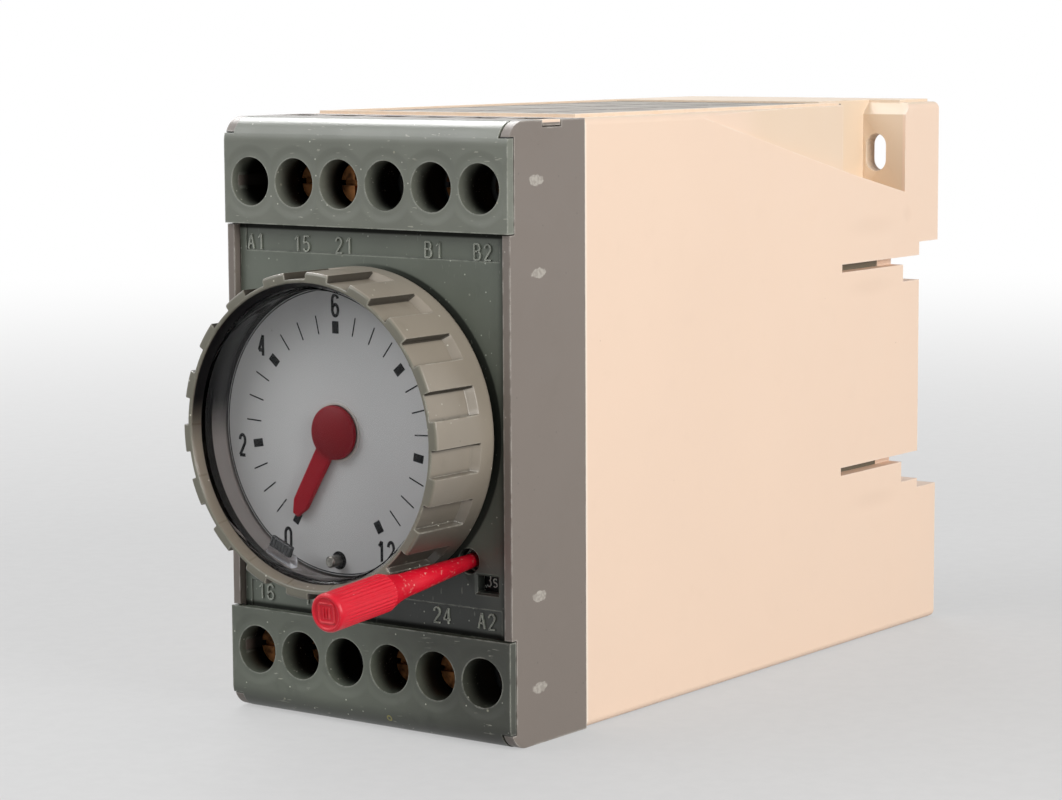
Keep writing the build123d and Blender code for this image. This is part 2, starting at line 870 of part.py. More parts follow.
# ---- Terminal screws, clamp plates and contact bars ----
for row, depths in (("top", screw_depths_top), ("bottom", screw_depths_bottom)):
    with BuildPart() as terminal_screws:
        for x, depth in zip(terminal_xs, depths):
            head_front = front + depth
            add_rod(x, top_row_height, screw_head_radius, head_front, head_front + screw_head_length)
            add_rod(
                x,
                top_row_height,
                screw_shank_radius,
                head_front + screw_head_length,
                head_front + screw_length,
            )
            # cross slot
            for half_long, half_wide in (
                (screw_head_radius + overrun, screw_slot_width / 2),
                (screw_slot_width / 2, screw_head_radius + overrun),
            ):
                add_box(
                    (x - half_long, x + half_long),
                    (head_front, head_front + screw_slot_depth),
                    (top_row_height - half_wide, top_row_height + half_wide),
                    mode=Mode.SUBTRACT,
                )
    with BuildPart() as clamp_plates:
        for x in terminal_xs:
            add_box(
                (x - clamp_size / 2, x + clamp_size / 2),
                (front + clamp_front, front + clamp_front + clamp_thickness),
                (top_row_height - clamp_size / 2, top_row_height + clamp_size / 2),
            )
            add_rod(
                x,
                top_row_height,
                screw_shank_radius + screw_bore_clearance,
                front + clamp_front,
                front + clamp_front + clamp_thickness,
                mode=Mode.SUBTRACT,
            )
    with BuildPart() as contact_bars:
        for x in terminal_xs:
            tail_low = chamber_floor + seat_gap
            add_box(
                (x - bar_width / 2, x + bar_width / 2),
                (bar_back - bar_thickness, bar_back),
                (tail_low, top_row_height + bar_rise),
            )
            add_box(
                (x - bar_width / 2, x + bar_width / 2),
                (bar_back - bar_thickness, bar_tail_back),
                (tail_low, tail_low + bar_thickness),
            )
            add_rod(
                x,
                top_row_height,
                screw_shank_radius + running_clearance / 2,
                bar_back - bar_thickness,
                bar_back,
                mode=Mode.SUBTRACT,
            )
    with BuildPart() as link_board:
        add_box(
            (-shoulder_half + seat_gap, shoulder_half - seat_gap),
            (front + link_board_front, front + link_board_front + board_thickness),
            (link_board_top_edge - link_board_height, link_board_top_edge),
        )
        for x in terminal_xs:
            add_box(
                (x - bar_width / 2 - link_board_gap, x + bar_width / 2 + link_board_gap),
                (front + link_board_front, front + link_board_front + board_thickness),
                (tail_low - link_board_gap, tail_low + bar_thickness + link_board_gap),
                mode=Mode.SUBTRACT,
            )
    for piece, kind in (
        (terminal_screws, "terminal_screws"),
        (clamp_plates, "clamp_plates"),
        (contact_bars, "contact_bars"),
        (link_board, "link_board"),
    ):
        shape = piece.part if row == "top" else mirror(piece.part, about=middle)
        save_shape(shape, f"{kind}_{row}")

# ---- Front panel ----
post_side = plate_half_width - pillar_inset
post_rise = sqrt((track_board_radius + post_board_gap + post_radius) ** 2 - post_side**2)
posts = [(post_side, dial_height + post_rise), (-post_side, dial_height + post_rise)]
posts.append((-post_side, dial_height - post_rise))
boss_outer_radius = retainer_radius - running_clearance

with BuildPart() as front_panel:
    add_box(
        (-block_half, block_half),
        (panel_front, panel_back),
        (cover_height - panel_tuck, cover_bottom + panel_tuck),
    )
    # boss the knob's retainer runs against, cut away beside the range disc
    add_rod(0, dial_height, boss_outer_radius, panel_back, retainer_front - retainer_gap)
    add_rod(
        selector_x,
        selector_height,
        range_disc_radius + disc_gap,
        panel_back,
        retainer_front,
        mode=Mode.SUBTRACT,
    )
    add_rod(
        0,
        dial_height,
        sleeve_outer_radius + running_clearance,
        panel_front,
        retainer_front,
        mode=Mode.SUBTRACT,
    )
    # posts for the movement
    for x, z in posts:
        add_rod(x, z, post_radius, panel_back, plate_front)
        add_rod(
            x,
            z,
            post_screw_radius,
            plate_front - post_screw_length,
            plate_front,
            mode=Mode.SUBTRACT,
        )
    # sunk strips that carry the terminal marks
    for low in (cover_height, cover_bottom - strip_height):
        add_box(
            (-block_half + strip_side_margin, block_half - strip_side_margin),
            (panel_front, panel_front + strip_sink),
            (low, low + strip_height),
            mode=Mode.SUBTRACT,
        )
    # hole for the key, and the bevelled range window
    add_rod(selector_x, selector_height, key_hole_radius, panel_front, panel_back, mode=Mode.SUBTRACT)
    with Locations((range_window_x, (panel_front + panel_back) / 2, range_window_height_centre)):
        Box(range_window_width, panel_thickness, range_window_height, mode=Mode.SUBTRACT)
    for y, growth in (
        (panel_front, 2 * range_window_bevel),
        (panel_front + range_window_bevel, 0),
    ):
        with BuildSketch(facing(y)):
            with Locations((range_window_x, range_window_height_centre)):
                Rectangle(range_window_width + growth, range_window_height + growth)
    loft(mode=Mode.SUBTRACT)
save(front_panel, "front_panel")

# ---- Knob ----
dial_axis = Axis((0, 0, dial_height), (0, 1, 0))


def turned(points):
    """Solid of revolution about the dial's axis, from (radius, y) corners."""
    with BuildPart(mode=Mode.PRIVATE) as turning:
        with BuildSketch(Plane((0, 0, dial_height), x_dir=(1, 0, 0), z_dir=(0, 0, 1))) as profile:
            with BuildLine():
                Polyline(*points, close=True)
            make_face()
        revolve(profile.sketch, axis=dial_axis)
    return turning.part


knob_pocket_back = knob_face + knob_pocket_length
with BuildPart() as pocket_cutter:
    with BuildSketch(Plane((0, 0, dial_height), x_dir=(1, 0, 0), z_dir=(0, 0, 1))) as pocket_profile:
        with BuildLine():
            Polyline(
                (knob_radius - knob_pocket_depth, knob_face - overrun),
                (knob_radius - knob_pocket_depth, knob_pocket_back - knob_pocket_slope),
                (knob_radius, knob_pocket_back),
                (knob_radius + overrun, knob_pocket_back),
                (knob_radius + overrun, knob_face - overrun),
                close=True,
            )
        make_face()
    pocket_arc = knob_pocket_share * 360 / knob_pockets
    revolve(pocket_profile.sketch, axis=dial_axis, revolution_arc=pocket_arc)

with BuildPart() as knob_ring:
    add(
        turned(
            [
                (knob_inner_radius, knob_face),
                (knob_radius, knob_face),
                (knob_radius, knob_rear),
                (sleeve_outer_radius, knob_rear),
                (sleeve_outer_radius, sleeve_back),
                (sleeve_inner_radius, sleeve_back),
                (sleeve_inner_radius, knob_rear - knob_web),
                (knob_inner_radius, knob_rear - knob_web),
            ]
        )
    )
    outer_rear = knob_ring.edges().filter_by(GeomType.CIRCLE).filter_by(
        lambda edge: edge.radius > knob_radius - overlap
    )
    fillet(outer_rear.sort_by(Axis.Y)[-1], knob_flange_round)
    chamfer(outer_rear.sort_by(Axis.Y)[0], knob_rim_chamfer)
    for index in range(knob_pockets):
        turn = knob_pocket_phase - 90 - pocket_arc / 2 + index * 360 / knob_pockets
        add(pocket_cutter.part.rotate(dial_axis, turn), mode=Mode.SUBTRACT)
save(knob_ring, "knob_ring")

with BuildPart() as knob_retainer:
    add_rod(0, dial_height, retainer_radius, retainer_front, sleeve_back)
    add_rod(0, dial_height, sleeve_outer_radius, retainer_front, sleeve_back, mode=Mode.SUBTRACT)
save(knob_retainer, "knob_retainer")

with BuildPart() as track_wiper:
    wiper_outer = retainer_radius - wiper_clearance
    wiper_front = sleeve_back + wiper_clearance
    wiper_back = track_board_front - wiper_clearance
    add_rod(0, dial_height, wiper_outer, wiper_front, wiper_back)
    add_rod(0, dial_height, wiper_outer - wiper_width, wiper_front, wiper_back, mode=Mode.SUBTRACT)
save(track_wiper, "track_wiper")

window_radius = knob_inner_radius - window_fit
with BuildPart() as knob_window:
    window_rear = window_face + window_thickness
    add_rod(0, dial_height, window_radius, window_face, window_rear + window_wall_length)
    add_rod(
        0,
        dial_height,
        window_radius - window_wall,
        window_rear,
        window_rear + window_wall_length,
        mode=Mode.SUBTRACT,
    )
save(knob_window, "knob_window")

with BuildPart() as setting_index:
    index_height = dial_height - (index_inner_radius + index_outer_radius) / 2
    with Locations((0, window_rear + index_length / 2, index_height)):
        Box(index_width, index_length, index_outer_radius - index_inner_radius)
    index_ribs = setting_index.edges().filter_by(Axis.Y)
    chamfer(index_ribs, index_width / 8)
setting_index_block = setting_index.part.rotate(dial_axis, index_turn)
save_shape(setting_index_block, "setting_index")

# ---- Dial ----
stop_pin_height = dial_height - stop_pin_circle
with BuildPart() as dial_plate:
    add_rod(0, dial_height, dial_radius, dial_front, drum_front)
    add_rod(0, dial_height, collar_radius + disc_gap, dial_front, drum_front, mode=Mode.SUBTRACT)
    add_rod(0, stop_pin_height, stop_pin_hole_radius, dial_front, drum_front, mode=Mode.SUBTRACT)
save(dial_plate, "dial_plate")

with BuildPart() as dial_carrier:
    flange_back = drum_front + carrier_flange
    add_rod(0, dial_height, carrier_flange_radius, drum_front, flange_back)
    add_rod(0, dial_height, drum_radius, flange_back, plate_front)
    add_rod(0, dial_height, drum_radius - drum_wall, flange_back, plate_front, mode=Mode.SUBTRACT)
    add_rod(0, dial_height, bush_radius, drum_front, flange_back, mode=Mode.SUBTRACT)
    add_rod(0, stop_pin_height, stop_pin_radius, drum_front, flange_back, mode=Mode.SUBTRACT)
save(dial_carrier, "dial_carrier")

with BuildPart() as stop_pin:
    add_rod(0, stop_pin_height, stop_pin_radius, dial_front - stop_pin_reach, flange_back)
    pin_tip = stop_pin.edges().filter_by(GeomType.CIRCLE).sort_by(Axis.Y)[0]
    chamfer(pin_tip, stop_pin_radius / 4)
save(stop_pin, "stop_pin")

# ---- Pointer ----
pointer_back = dial_front - pointer_gap
pointer_front = pointer_back - pointer_thickness
with BuildPart() as pointer:
    with BuildSketch(facing(pointer_back)) as pointer_outline:
        with Locations((0, dial_height)):
            Circle(pointer_hub_radius)
        with BuildLine():
            waist = pointer_length - pointer_tip_length
            Polyline(
                (-pointer_arm_width / 2, dial_height),
                (-pointer_arm_width / 2, dial_height + waist),
                (-pointer_tip_width / 2, dial_height + pointer_length),
                (pointer_tip_width / 2, dial_height + pointer_length),
                (pointer_arm_width / 2, dial_height + waist),
                (pointer_arm_width / 2, dial_height),
                close=True,
            )
        make_face()
    extrude(pointer_outline.sketch, amount=pointer_thickness)
    add_rod(0, dial_height, arbor_radius, pointer_front, pointer_back, mode=Mode.SUBTRACT)
save_shape(pointer.part.rotate(dial_axis, -scale_sweep / 2), "pointer")

with BuildPart() as pointer_bush:
    add_rod(0, dial_height, collar_radius, dial_front - collar_thickness, drum_front)
    add_rod(0, dial_height, bush_radius, drum_front, plate_front)
    add_rod(
        0,
        dial_height,
        arbor_radius + arbor_clearance,
        dial_front - collar_thickness,
        plate_front,
        mode=Mode.SUBTRACT,
    )
save(pointer_bush, "pointer_bush")

# ---- Movement ----
centre_distance = gear_module * (centre_teeth + pinion_teeth) / 2
motor_distance = gear_module * (intermediate_teeth + pinion_teeth) / 2
intermediate_height = dial_height + sqrt(centre_distance**2 - intermediate_x**2)
motor_x = intermediate_x - motor_distance
mesh_angle = degrees(atan2(intermediate_height - dial_height, intermediate_x))


def gear_points(teeth, first_tooth, x, z):
    """Outline of a spur gear centred on (x, z), as corners in the plane across the case."""
    pitch_radius = gear_module * teeth / 2
    root_radius = pitch_radius - gear_dedendum * gear_module
    tip_radius = pitch_radius + gear_addendum * gear_module
    half_tooth = tooth_fill * 180 / teeth
    corners = (
        (root_radius, -tooth_root_spread * half_tooth),
        (tip_radius, -tooth_tip_spread * half_tooth),
        (tip_radius, tooth_tip_spread * half_tooth),
        (root_radius, tooth_root_spread * half_tooth),
    )
    points = []
    for index in range(teeth):
        centre = first_tooth + 360 * index / teeth
        for radius, offset in corners:
            angle = radians(centre + offset)
            points.append((x + radius * cos(angle), z + radius * sin(angle)))
    return points


def add_gear(teeth, first_tooth, x, z, y_front, thickness):
    """Spur gear with the bore of its arbor, in the part being built."""
    with BuildSketch(facing(y_front + thickness)) as blank:
        with BuildLine():
            Polyline(*gear_points(teeth, first_tooth, x, z), close=True)
        make_face()
        with Locations((x, z)):
            Circle(arbor_radius, mode=Mode.SUBTRACT)
    extrude(blank.sketch, amount=thickness)


centre_gear_front = front + centre_gear_depth
intermediate_gear_front = front + intermediate_gear_depth
pinion_lead = (pinion_length - gear_thickness) / 2

with BuildPart() as centre_wheel:
    add_gear(centre_teeth, mesh_angle, 0, dial_height, centre_gear_front, gear_thickness)
save(centre_wheel, "centre_wheel")

with BuildPart() as pointer_arbor:
    add_rod(0, dial_height, arbor_radius, pointer_front, rear_plate_back)
save(pointer_arbor, "pointer_arbor")

with BuildPart() as intermediate_pinion:
    add_gear(
        pinion_teeth,
        mesh_angle + 180 + 180 / pinion_teeth,
        intermediate_x,
        intermediate_height,
        centre_gear_front - pinion_lead,
        pinion_length,
    )
save(intermediate_pinion, "intermediate_pinion")

with BuildPart() as intermediate_wheel:
    add_gear(
        intermediate_teeth,
        180,
        intermediate_x,
        intermediate_height,
        intermediate_gear_front,
        gear_thickness,
    )
save(intermediate_wheel, "intermediate_wheel")

with BuildPart() as intermediate_arbor:
    add_rod(intermediate_x, intermediate_height, arbor_radius, plate_front, rear_plate_back)
save(intermediate_arbor, "intermediate_arbor")

with BuildPart() as motor_pinion:
    add_gear(
        pinion_teeth,
        180 / pinion_teeth,
        motor_x,
        intermediate_height,
        intermediate_gear_front - pinion_lead,
        pinion_length,
    )
save(motor_pinion, "motor_pinion")

motor_back = rear_plate_back + motor_length
rotor_front = rear_plate_back + motor_wall + rotor_end_gap
rotor_back = motor_back - motor_wall - rotor_end_gap
with BuildPart() as motor_rotor:
    add_rod(motor_x, intermediate_height, motor_rotor_radius, rotor_front, rotor_back)
    add_rod(
        motor_x,
        intermediate_height,
        arbor_radius,
        intermediate_gear_front - pinion_lead,
        motor_back - motor_wall,
    )
save(motor_rotor, "motor_rotor")

with BuildPart() as motor_coil:
    coil_front = rear_plate_back + motor_wall + motor_coil_margin
    coil_back = motor_back - motor_wall - motor_coil_margin
    coil_outer = motor_radius - motor_wall - motor_coil_margin
    add_rod(motor_x, intermediate_height, coil_outer, coil_front, coil_back)
    add_rod(
        motor_x, intermediate_height, motor_coil_inner, coil_front, coil_back, mode=Mode.SUBTRACT
    )
save(motor_coil, "motor_coil")

with BuildPart() as motor_can:
    add_rod(motor_x, intermediate_height, motor_radius, rear_plate_back, motor_back)
    add_rod(
        motor_x,
        intermediate_height,
        motor_radius - motor_wall,
        rear_plate_back + motor_wall,
        motor_back - motor_wall,
        mode=Mode.SUBTRACT,
    )
    add_rod(
        motor_x,
        intermediate_height,
        arbor_radius + arbor_clearance,
        rear_plate_back,
        rear_plate_back + motor_wall,
        mode=Mode.SUBTRACT,
    )
    # seat for the rear end of the rotor's shaft
    add_rod(
        motor_x,
        intermediate_height,
        2 * arbor_radius,
        rotor_back + rotor_end_gap / 2,
        motor_back - motor_wall,
    )
    add_rod(
        motor_x,
        intermediate_height,
        arbor_radius + arbor_clearance,
        rotor_back,
        motor_back - motor_wall,
        mode=Mode.SUBTRACT,
    )
save(motor_can, "motor_can")

switch_notch_left = selector_x - switch_size / 2 - plate_notch_gap
switch_notch_top = selector_height + switch_size / 2 + plate_notch_gap
pillar_places = [
    (side * x, z)
    for side in (-1, 1)
    for x, z in (
        (plate_half_width - pillar_inset, plate_top - pillar_inset),
        (switch_notch_left - 2 * pillar_inset, plate_bottom + pillar_inset),
    )
]

with BuildPart() as movement_plate_front:
    add_box((-plate_half_width, plate_half_width), (plate_front, plate_back), (plate_bottom, plate_top))
    add_box(
        (switch_notch_left, plate_half_width),
        (plate_front, plate_back),
        (plate_bottom, switch_notch_top),
        mode=Mode.SUBTRACT,
    )
    for x, z in ((0, dial_height), (intermediate_x, intermediate_height)):
        add_rod(x, z, arbor_radius + arbor_clearance, plate_front, plate_back, mode=Mode.SUBTRACT)
    for x, z in posts:
        add_rod(
            x, z, post_screw_radius + arbor_clearance, plate_front, plate_back, mode=Mode.SUBTRACT
        )
    for x, z in pillar_places:
        add_rod(x, z, pillar_tenon_radius, plate_front, plate_back, mode=Mode.SUBTRACT)
save(movement_plate_front, "movement_plate_front")

with BuildPart() as movement_plate_rear:
    add_box(
        (-plate_half_width, plate_half_width),
        (rear_plate_front, rear_plate_back),
        (plate_bottom, plate_top),
    )
    for x, z in (
        (0, dial_height),
        (intermediate_x, intermediate_height),
        (motor_x, intermediate_height),
    ):
        add_rod(
            x,
            z,
            arbor_radius + arbor_clearance,
            rear_plate_front,
            rear_plate_back,
            mode=Mode.SUBTRACT,
        )
    for x, z in pillar_places:
        add_rod(x, z, pillar_tenon_radius, rear_plate_front, rear_plate_back, mode=Mode.SUBTRACT)
save(movement_plate_rear, "movement_plate_rear")

with BuildPart() as movement_pillars:
    for x, z in pillar_places:
        add_rod(x, z, pillar_radius, plate_back, rear_plate_front)
        add_rod(x, z, pillar_tenon_radius, plate_front, rear_plate_back)
save(movement_pillars, "movement_pillars")

with BuildPart() as movement_screws:
    for x, z in posts:
        add_rod(x, z, post_screw_head_radius, plate_back, plate_back + post_screw_head)
        add_rod(x, z, post_screw_radius, plate_front - post_screw_length, plate_back)
        add_box(
            (x - post_screw_head_radius, x + post_screw_head_radius),
            (plate_back + post_screw_head / 2, plate_back + post_screw_head),
            (z - screw_slot_width / 2, z + screw_slot_width / 2),
            mode=Mode.SUBTRACT,
        )
save(movement_screws, "movement_screws")

# ---- Setting board ----
with BuildPart() as track_board:
    add_rod(0, dial_height, track_board_radius, track_board_front, track_board_back)
    add_rod(
        0,
        dial_height,
        sleeve_outer_radius + disc_gap,
        track_board_front,
        track_board_back,
        mode=Mode.SUBTRACT,
    )
save(track_board, "track_board")

with BuildPart() as spacer_ring:
    add_rod(0, dial_height, track_board_radius, track_board_back, plate_front)
    add_rod(
        0,
        dial_height,
        track_board_radius - spacer_width,
        track_board_back,
        plate_front,
        mode=Mode.SUBTRACT,
    )
    add_box(
        (switch_notch_left - 2 * switch_flange, track_board_radius),
        (track_board_back, plate_front),
        (dial_height - track_board_radius, switch_notch_top + 2 * switch_flange),
        mode=Mode.SUBTRACT,
    )
save(spacer_ring, "spacer_ring")

# ---- Range selector ----
shaft_front = panel_back + seat_gap
disc_front = panel_back + disc_gap
disc_back = disc_front + range_disc_thickness
socket_back = shaft_front + selector_socket_depth
switch_front = plate_front - switch_flange_thickness
switch_back = plate_front + switch_length

with BuildPart() as range_shaft:
    add_rod(selector_x, selector_height, selector_shaft_radius, shaft_front, switch_front - disc_gap)
    add_rod(selector_x, selector_height, selector_tail_radius, shaft_front, switch_back)
    add_rod(
        selector_x,
        selector_height,
        selector_socket_radius,
        shaft_front,
        socket_back,
        mode=Mode.SUBTRACT,
    )
save(range_shaft, "range_shaft")

with BuildPart() as range_disc:
    add_rod(selector_x, selector_height, range_disc_radius, disc_front, disc_back)
    add_rod(selector_x, selector_height, selector_shaft_radius, disc_front, disc_back, mode=Mode.SUBTRACT)
save(range_disc, "range_disc")

with BuildPart() as range_switch:
    half_switch = switch_size / 2
    half_flange = half_switch + switch_flange
    for half, y_low, y_high in (
        (half_switch, plate_front, switch_back),
        (half_flange, switch_front, plate_front),
    ):
        add_box(
            (selector_x - half, selector_x + half),
            (y_low, y_high),
            (selector_height - half, selector_height + half),
        )
    add_rod(
        selector_x,
        selector_height,
        selector_tail_radius + arbor_clearance,
        switch_front,
        switch_back,
        mode=Mode.SUBTRACT,
    )
save(range_switch, "range_switch")

# ---- Range key ----
key_flare_back = key_handle_length + key_shoulder_length
key_mouth = key_flare_back + key_shank_length
key_tip = key_mouth + key_insertion
with BuildPart() as range_key:
    with BuildSketch(Plane.XY) as key_profile:
        with BuildLine():
            Polyline(
                (0, 0),
                (key_handle_radius - key_end_chamfer, 0),
                (key_handle_radius, key_end_chamfer),
                (key_handle_radius, key_handle_length),
            )
            Spline(
                (key_handle_radius, key_handle_length),
                (key_neck_radius, key_flare_back),
                tangents=((-0.4, 1), (0, 1)),
            )
            Polyline(
                (key_neck_radius, key_flare_back),
                (key_mouth_radius, key_mouth),
                (key_tip_radius, key_tip),
                (0, key_tip),
                (0, 0),
            )
        make_face()
    revolve(key_profile.sketch, axis=Axis.Y)
    # fine flutes round the handle
    with BuildSketch(facing(key_end_chamfer + key_flute_depth)) as flutes:
        with PolarLocations(key_handle_radius + key_flute_depth, key_flutes):
            Circle(2 * key_flute_depth)
    extrude(
        flutes.sketch, amount=-(key_handle_length - 3 * key_end_chamfer), mode=Mode.SUBTRACT
    )
key_pivot = (panel_front + panel_back) / 2
key_start = -(key_mouth + panel_thickness / 2)
key_placing = Pos(selector_x, key_pivot, selector_height) * Rot(key_droop, 0, 0)
placed_key = key_placing * Pos(0, key_start, 0) * range_key.part
save_shape(placed_key, "range_key")

# ---- Rail latch ----
latch_back = hook_face + latch_thickness
latch_top = rail_bottom + hook_reach
with BuildPart() as rail_latch:
    add_box(
        (-latch_width / 2, latch_width / 2),
        (hook_face, latch_back),
        (latch_shoulder_height, latch_top),
    )
    add_box(
        (-latch_tail_width / 2, latch_tail_width / 2),
        (hook_face, latch_back),
        (latch_tail_bottom, latch_shoulder_height),
    )
    nose = rail_latch.edges().filter_by(Axis.X).group_by(Axis.Z)[-1].sort_by(Axis.Y)[-1]
    chamfer(nose, latch_thickness / 2)
    # slot for the screwdriver that pulls the latch down
    add_box(
        (-latch_tail_width / 4, latch_tail_width / 4),
        (hook_face, latch_back),
        (latch_tail_bottom + latch_thickness, latch_shoulder_height - latch_thickness),
        mode=Mode.SUBTRACT,
    )
save(rail_latch, "rail_latch")

spring_bottom = housing_wall + seat_gap + spring_wire_radius
spring_height = latch_shoulder_height - seat_gap - spring_wire_radius - spring_bottom
spring_y = (hook_face + latch_back) / 2
with BuildPart() as latch_springs:
    for side in (-1, 1):
        with BuildLine(Plane((side * spring_side, spring_y, spring_bottom))) as coil:
            Helix(spring_height / spring_turns, spring_height, spring_radius)
        with BuildSketch(Plane(coil.line @ 0, z_dir=coil.line % 0)) as wire_section:
            Circle(spring_wire_radius)
        sweep(wire_section.sketch, path=coil.line)
save(latch_springs, "latch_springs")

# ---- Roof label ----
label_half = rim_half - roof_rim_width - seat_gap
with BuildPart() as roof_label:
    add_box(
        (-label_half, label_half),
        (rim_front + roof_rim_width + seat_gap, rim_back - seat_gap),
        (case_height, case_height + label_thickness),
    )
save(roof_label, "roof_label")

# ---- Main board ----
board_front = front + link_board_front + board_thickness + seat_gap
board_back = cavity_back - seat_gap
lug_floor_under = pocket_floor_back - lug_pocket_wall
board_face = main_board_face
with BuildPart() as main_board:
    add_box(
        (board_face, board_face + board_thickness),
        (board_front, board_back),
        (main_board_bottom, case_height - main_board_bottom),
    )
    add_box(
        (board_face, board_face + board_thickness),
        (pocket_front - lug_pocket_wall - seat_gap, board_back),
        (lug_floor_under - seat_gap, case_height),
        mode=Mode.SUBTRACT,
    )
    with BuildSketch(side_plane(board_face)) as screw_holes:
        with Locations(*board_pads):
            Circle(board_screw_radius)
    extrude(screw_holes.sketch, amount=board_thickness, mode=Mode.SUBTRACT)
save(main_board, "main_board")

with BuildPart() as board_screws:
    for radius, x_low, x_high in (
        (board_screw_head_radius, board_face - board_screw_head, board_face),
        (board_screw_radius, board_face, inner_half),
    ):
        with BuildSketch(side_plane(x_low)) as screw_section:
            with Locations(*board_pads):
                Circle(radius)
        extrude(screw_section.sketch, amount=x_high - x_low)
    for pad_y, pad_z in board_pads:
        add_box(
            (board_face - board_screw_head, board_face - board_screw_head / 2),
            (pad_y - screw_slot_width / 2, pad_y + screw_slot_width / 2),
            (pad_z - board_screw_head_radius, pad_z + board_screw_head_radius),
            mode=Mode.SUBTRACT,
        )
save(board_screws, "board_screws")

# ---- Output relay ----
relay_start = front + relay_front
relay_end = relay_start + relay_length
relay_face = board_face - seat_gap - relay_base
relay_axis_height = relay_bottom + relay_height / 2
coil_centre_x = relay_face - seat_gap - relay_flange_radius
coil_start = relay_start + relay_yoke + relay_armature_gap
coil_end = coil_start + relay_coil_length
yoke_x = coil_centre_x - relay_flange_radius - seat_gap - relay_yoke

with BuildPart() as relay_body:
    add_box(
        (relay_face, board_face - seat_gap),
        (relay_start, relay_end),
        (relay_bottom, relay_bottom + relay_height),
    )
save(relay_body, "relay_body")

with BuildPart() as relay_coil:
    for radius, y_low, y_high in (
        (relay_flange_radius, coil_start, coil_start + relay_flange),
        (relay_coil_radius, coil_start, coil_end),
        (relay_flange_radius, coil_end - relay_flange, coil_end),
    ):
        add_rod(coil_centre_x, relay_axis_height, radius, y_low, y_high)
    add_rod(
        coil_centre_x,
        relay_axis_height,
        relay_core_radius,
        coil_start,
        coil_end,
        mode=Mode.SUBTRACT,
    )
save(relay_coil, "relay_coil")

with BuildPart() as relay_yoke_plate:
    yoke_low = relay_axis_height - relay_yoke_height / 2
    yoke_high = relay_axis_height + relay_yoke_height / 2
    yoke_start = coil_start - relay_armature_gap + seat_gap
    add_box((yoke_x, yoke_x + relay_yoke), (yoke_start, coil_end + relay_yoke), (yoke_low, yoke_high))
    add_box((yoke_x, relay_face - seat_gap), (coil_end, coil_end + relay_yoke), (yoke_low, yoke_high))
    add_rod(coil_centre_x, relay_axis_height, relay_core_radius, coil_start, coil_end)
save(relay_yoke_plate, "relay_yoke")

with BuildPart() as relay_armature:
    armature_start = coil_start - relay_armature_gap - relay_yoke
    add_box(
        (yoke_x, coil_centre_x + relay_core_radius),
        (armature_start, armature_start + relay_yoke),
        (yoke_low, yoke_high),
    )
save(relay_armature, "relay_armature")

with BuildPart() as relay_contacts:
    blade_spacing = (relay_end - coil_end - relay_yoke) / 4
    for blade in range(1, 4):
        blade_y = coil_end + relay_yoke + blade * blade_spacing
        add_box(
            (relay_face - contact_height, relay_face - seat_gap),
            (blade_y - contact_thickness / 2, blade_y + contact_thickness / 2),
            (relay_axis_height - contact_width / 2, relay_axis_height + contact_width / 2),
        )
        add_rod(
            relay_face - contact_height + contact_width / 2,
            relay_axis_height,
            contact_button_radius,
            blade_y - contact_thickness / 2 - contact_button,
            blade_y + contact_thickness / 2 + contact_button,
        )
save(relay_contacts, "relay_contacts")

# ---- Transformer ----
core_start = front + transformer_front
transformer_bottom = dial_height - transformer_drop
core_end = core_start + transformer_length
core_middle_y = (core_start + core_end) / 2
core_middle_z = transformer_bottom + transformer_height / 2
core_right = board_face - seat_gap - winding_overhang
core_left = core_right - transformer_stack
window_length = transformer_length / 2 - 2 * transformer_limb
window_half_height = transformer_height / 2 - transformer_limb

with BuildPart() as transformer_core:
    add_box(
        (core_left, core_right),
        (core_start, core_end),
        (transformer_bottom, transformer_bottom + transformer_height),
    )
    for y_low in (core_start + transformer_limb, core_middle_y + transformer_limb):
        add_box(
            (core_left, core_right),
            (y_low, y_low + window_length),
            (core_middle_z - window_half_height, core_middle_z + window_half_height),
            mode=Mode.SUBTRACT,
        )
save(transformer_core, "transformer_core")

with BuildPart() as transformer_winding:
    winding_half = transformer_limb + window_length - seat_gap
    add_box(
        (core_left - winding_overhang, core_right + winding_overhang),
        (core_middle_y - winding_half, core_middle_y + winding_half),
        (core_middle_z - window_half_height + seat_gap, core_middle_z + window_half_height - seat_gap),
    )
    fillet(transformer_winding.edges().filter_by(Axis.Z), winding_overhang / 2)
    add_box(
        (core_left - seat_gap, core_right + seat_gap),
        (core_middle_y - transformer_limb - seat_gap, core_middle_y + transformer_limb + seat_gap),
        (transformer_bottom, transformer_bottom + transformer_height),
        mode=Mode.SUBTRACT,
    )
save(transformer_winding, "transformer_winding")

# ---- Small parts on the main board ----
with BuildPart() as smoothing_capacitors:
    for y, z in capacitor_places:
        with BuildSketch(side_plane(board_face - seat_gap)) as can_section:
            with Locations((front + y, dial_height + z)):
                Circle(capacitor_radius)
        extrude(can_section.sketch, amount=-capacitor_length)
    can_ends = smoothing_capacitors.edges().filter_by(GeomType.CIRCLE)
    fillet(can_ends, capacitor_groove)
save(smoothing_capacitors, "smoothing_capacitors")

with BuildPart() as control_chip:
    chip_start = front + chip_front
    leg_length = board_face - seat_gap - (board_face - chip_thickness)
    add_box(
        (board_face - chip_thickness - chip_leg_width, board_face - 2 * chip_leg_width),
        (chip_start, chip_start + chip_length),
        (chip_bottom, chip_bottom + chip_height),
    )
    for leg in range(chip_legs):
        leg_y = chip_start + chip_length / 2 + (leg - (chip_legs - 1) / 2) * chip_leg_pitch
        for leg_z in (chip_bottom, chip_bottom + chip_height):
            add_box(
                (board_face - leg_length / 2, board_face - seat_gap),
                (leg_y - chip_leg_width / 2, leg_y + chip_leg_width / 2),
                (leg_z - chip_leg_width / 2, leg_z + chip_leg_width / 2),
            )
save(control_chip, "control_chip")

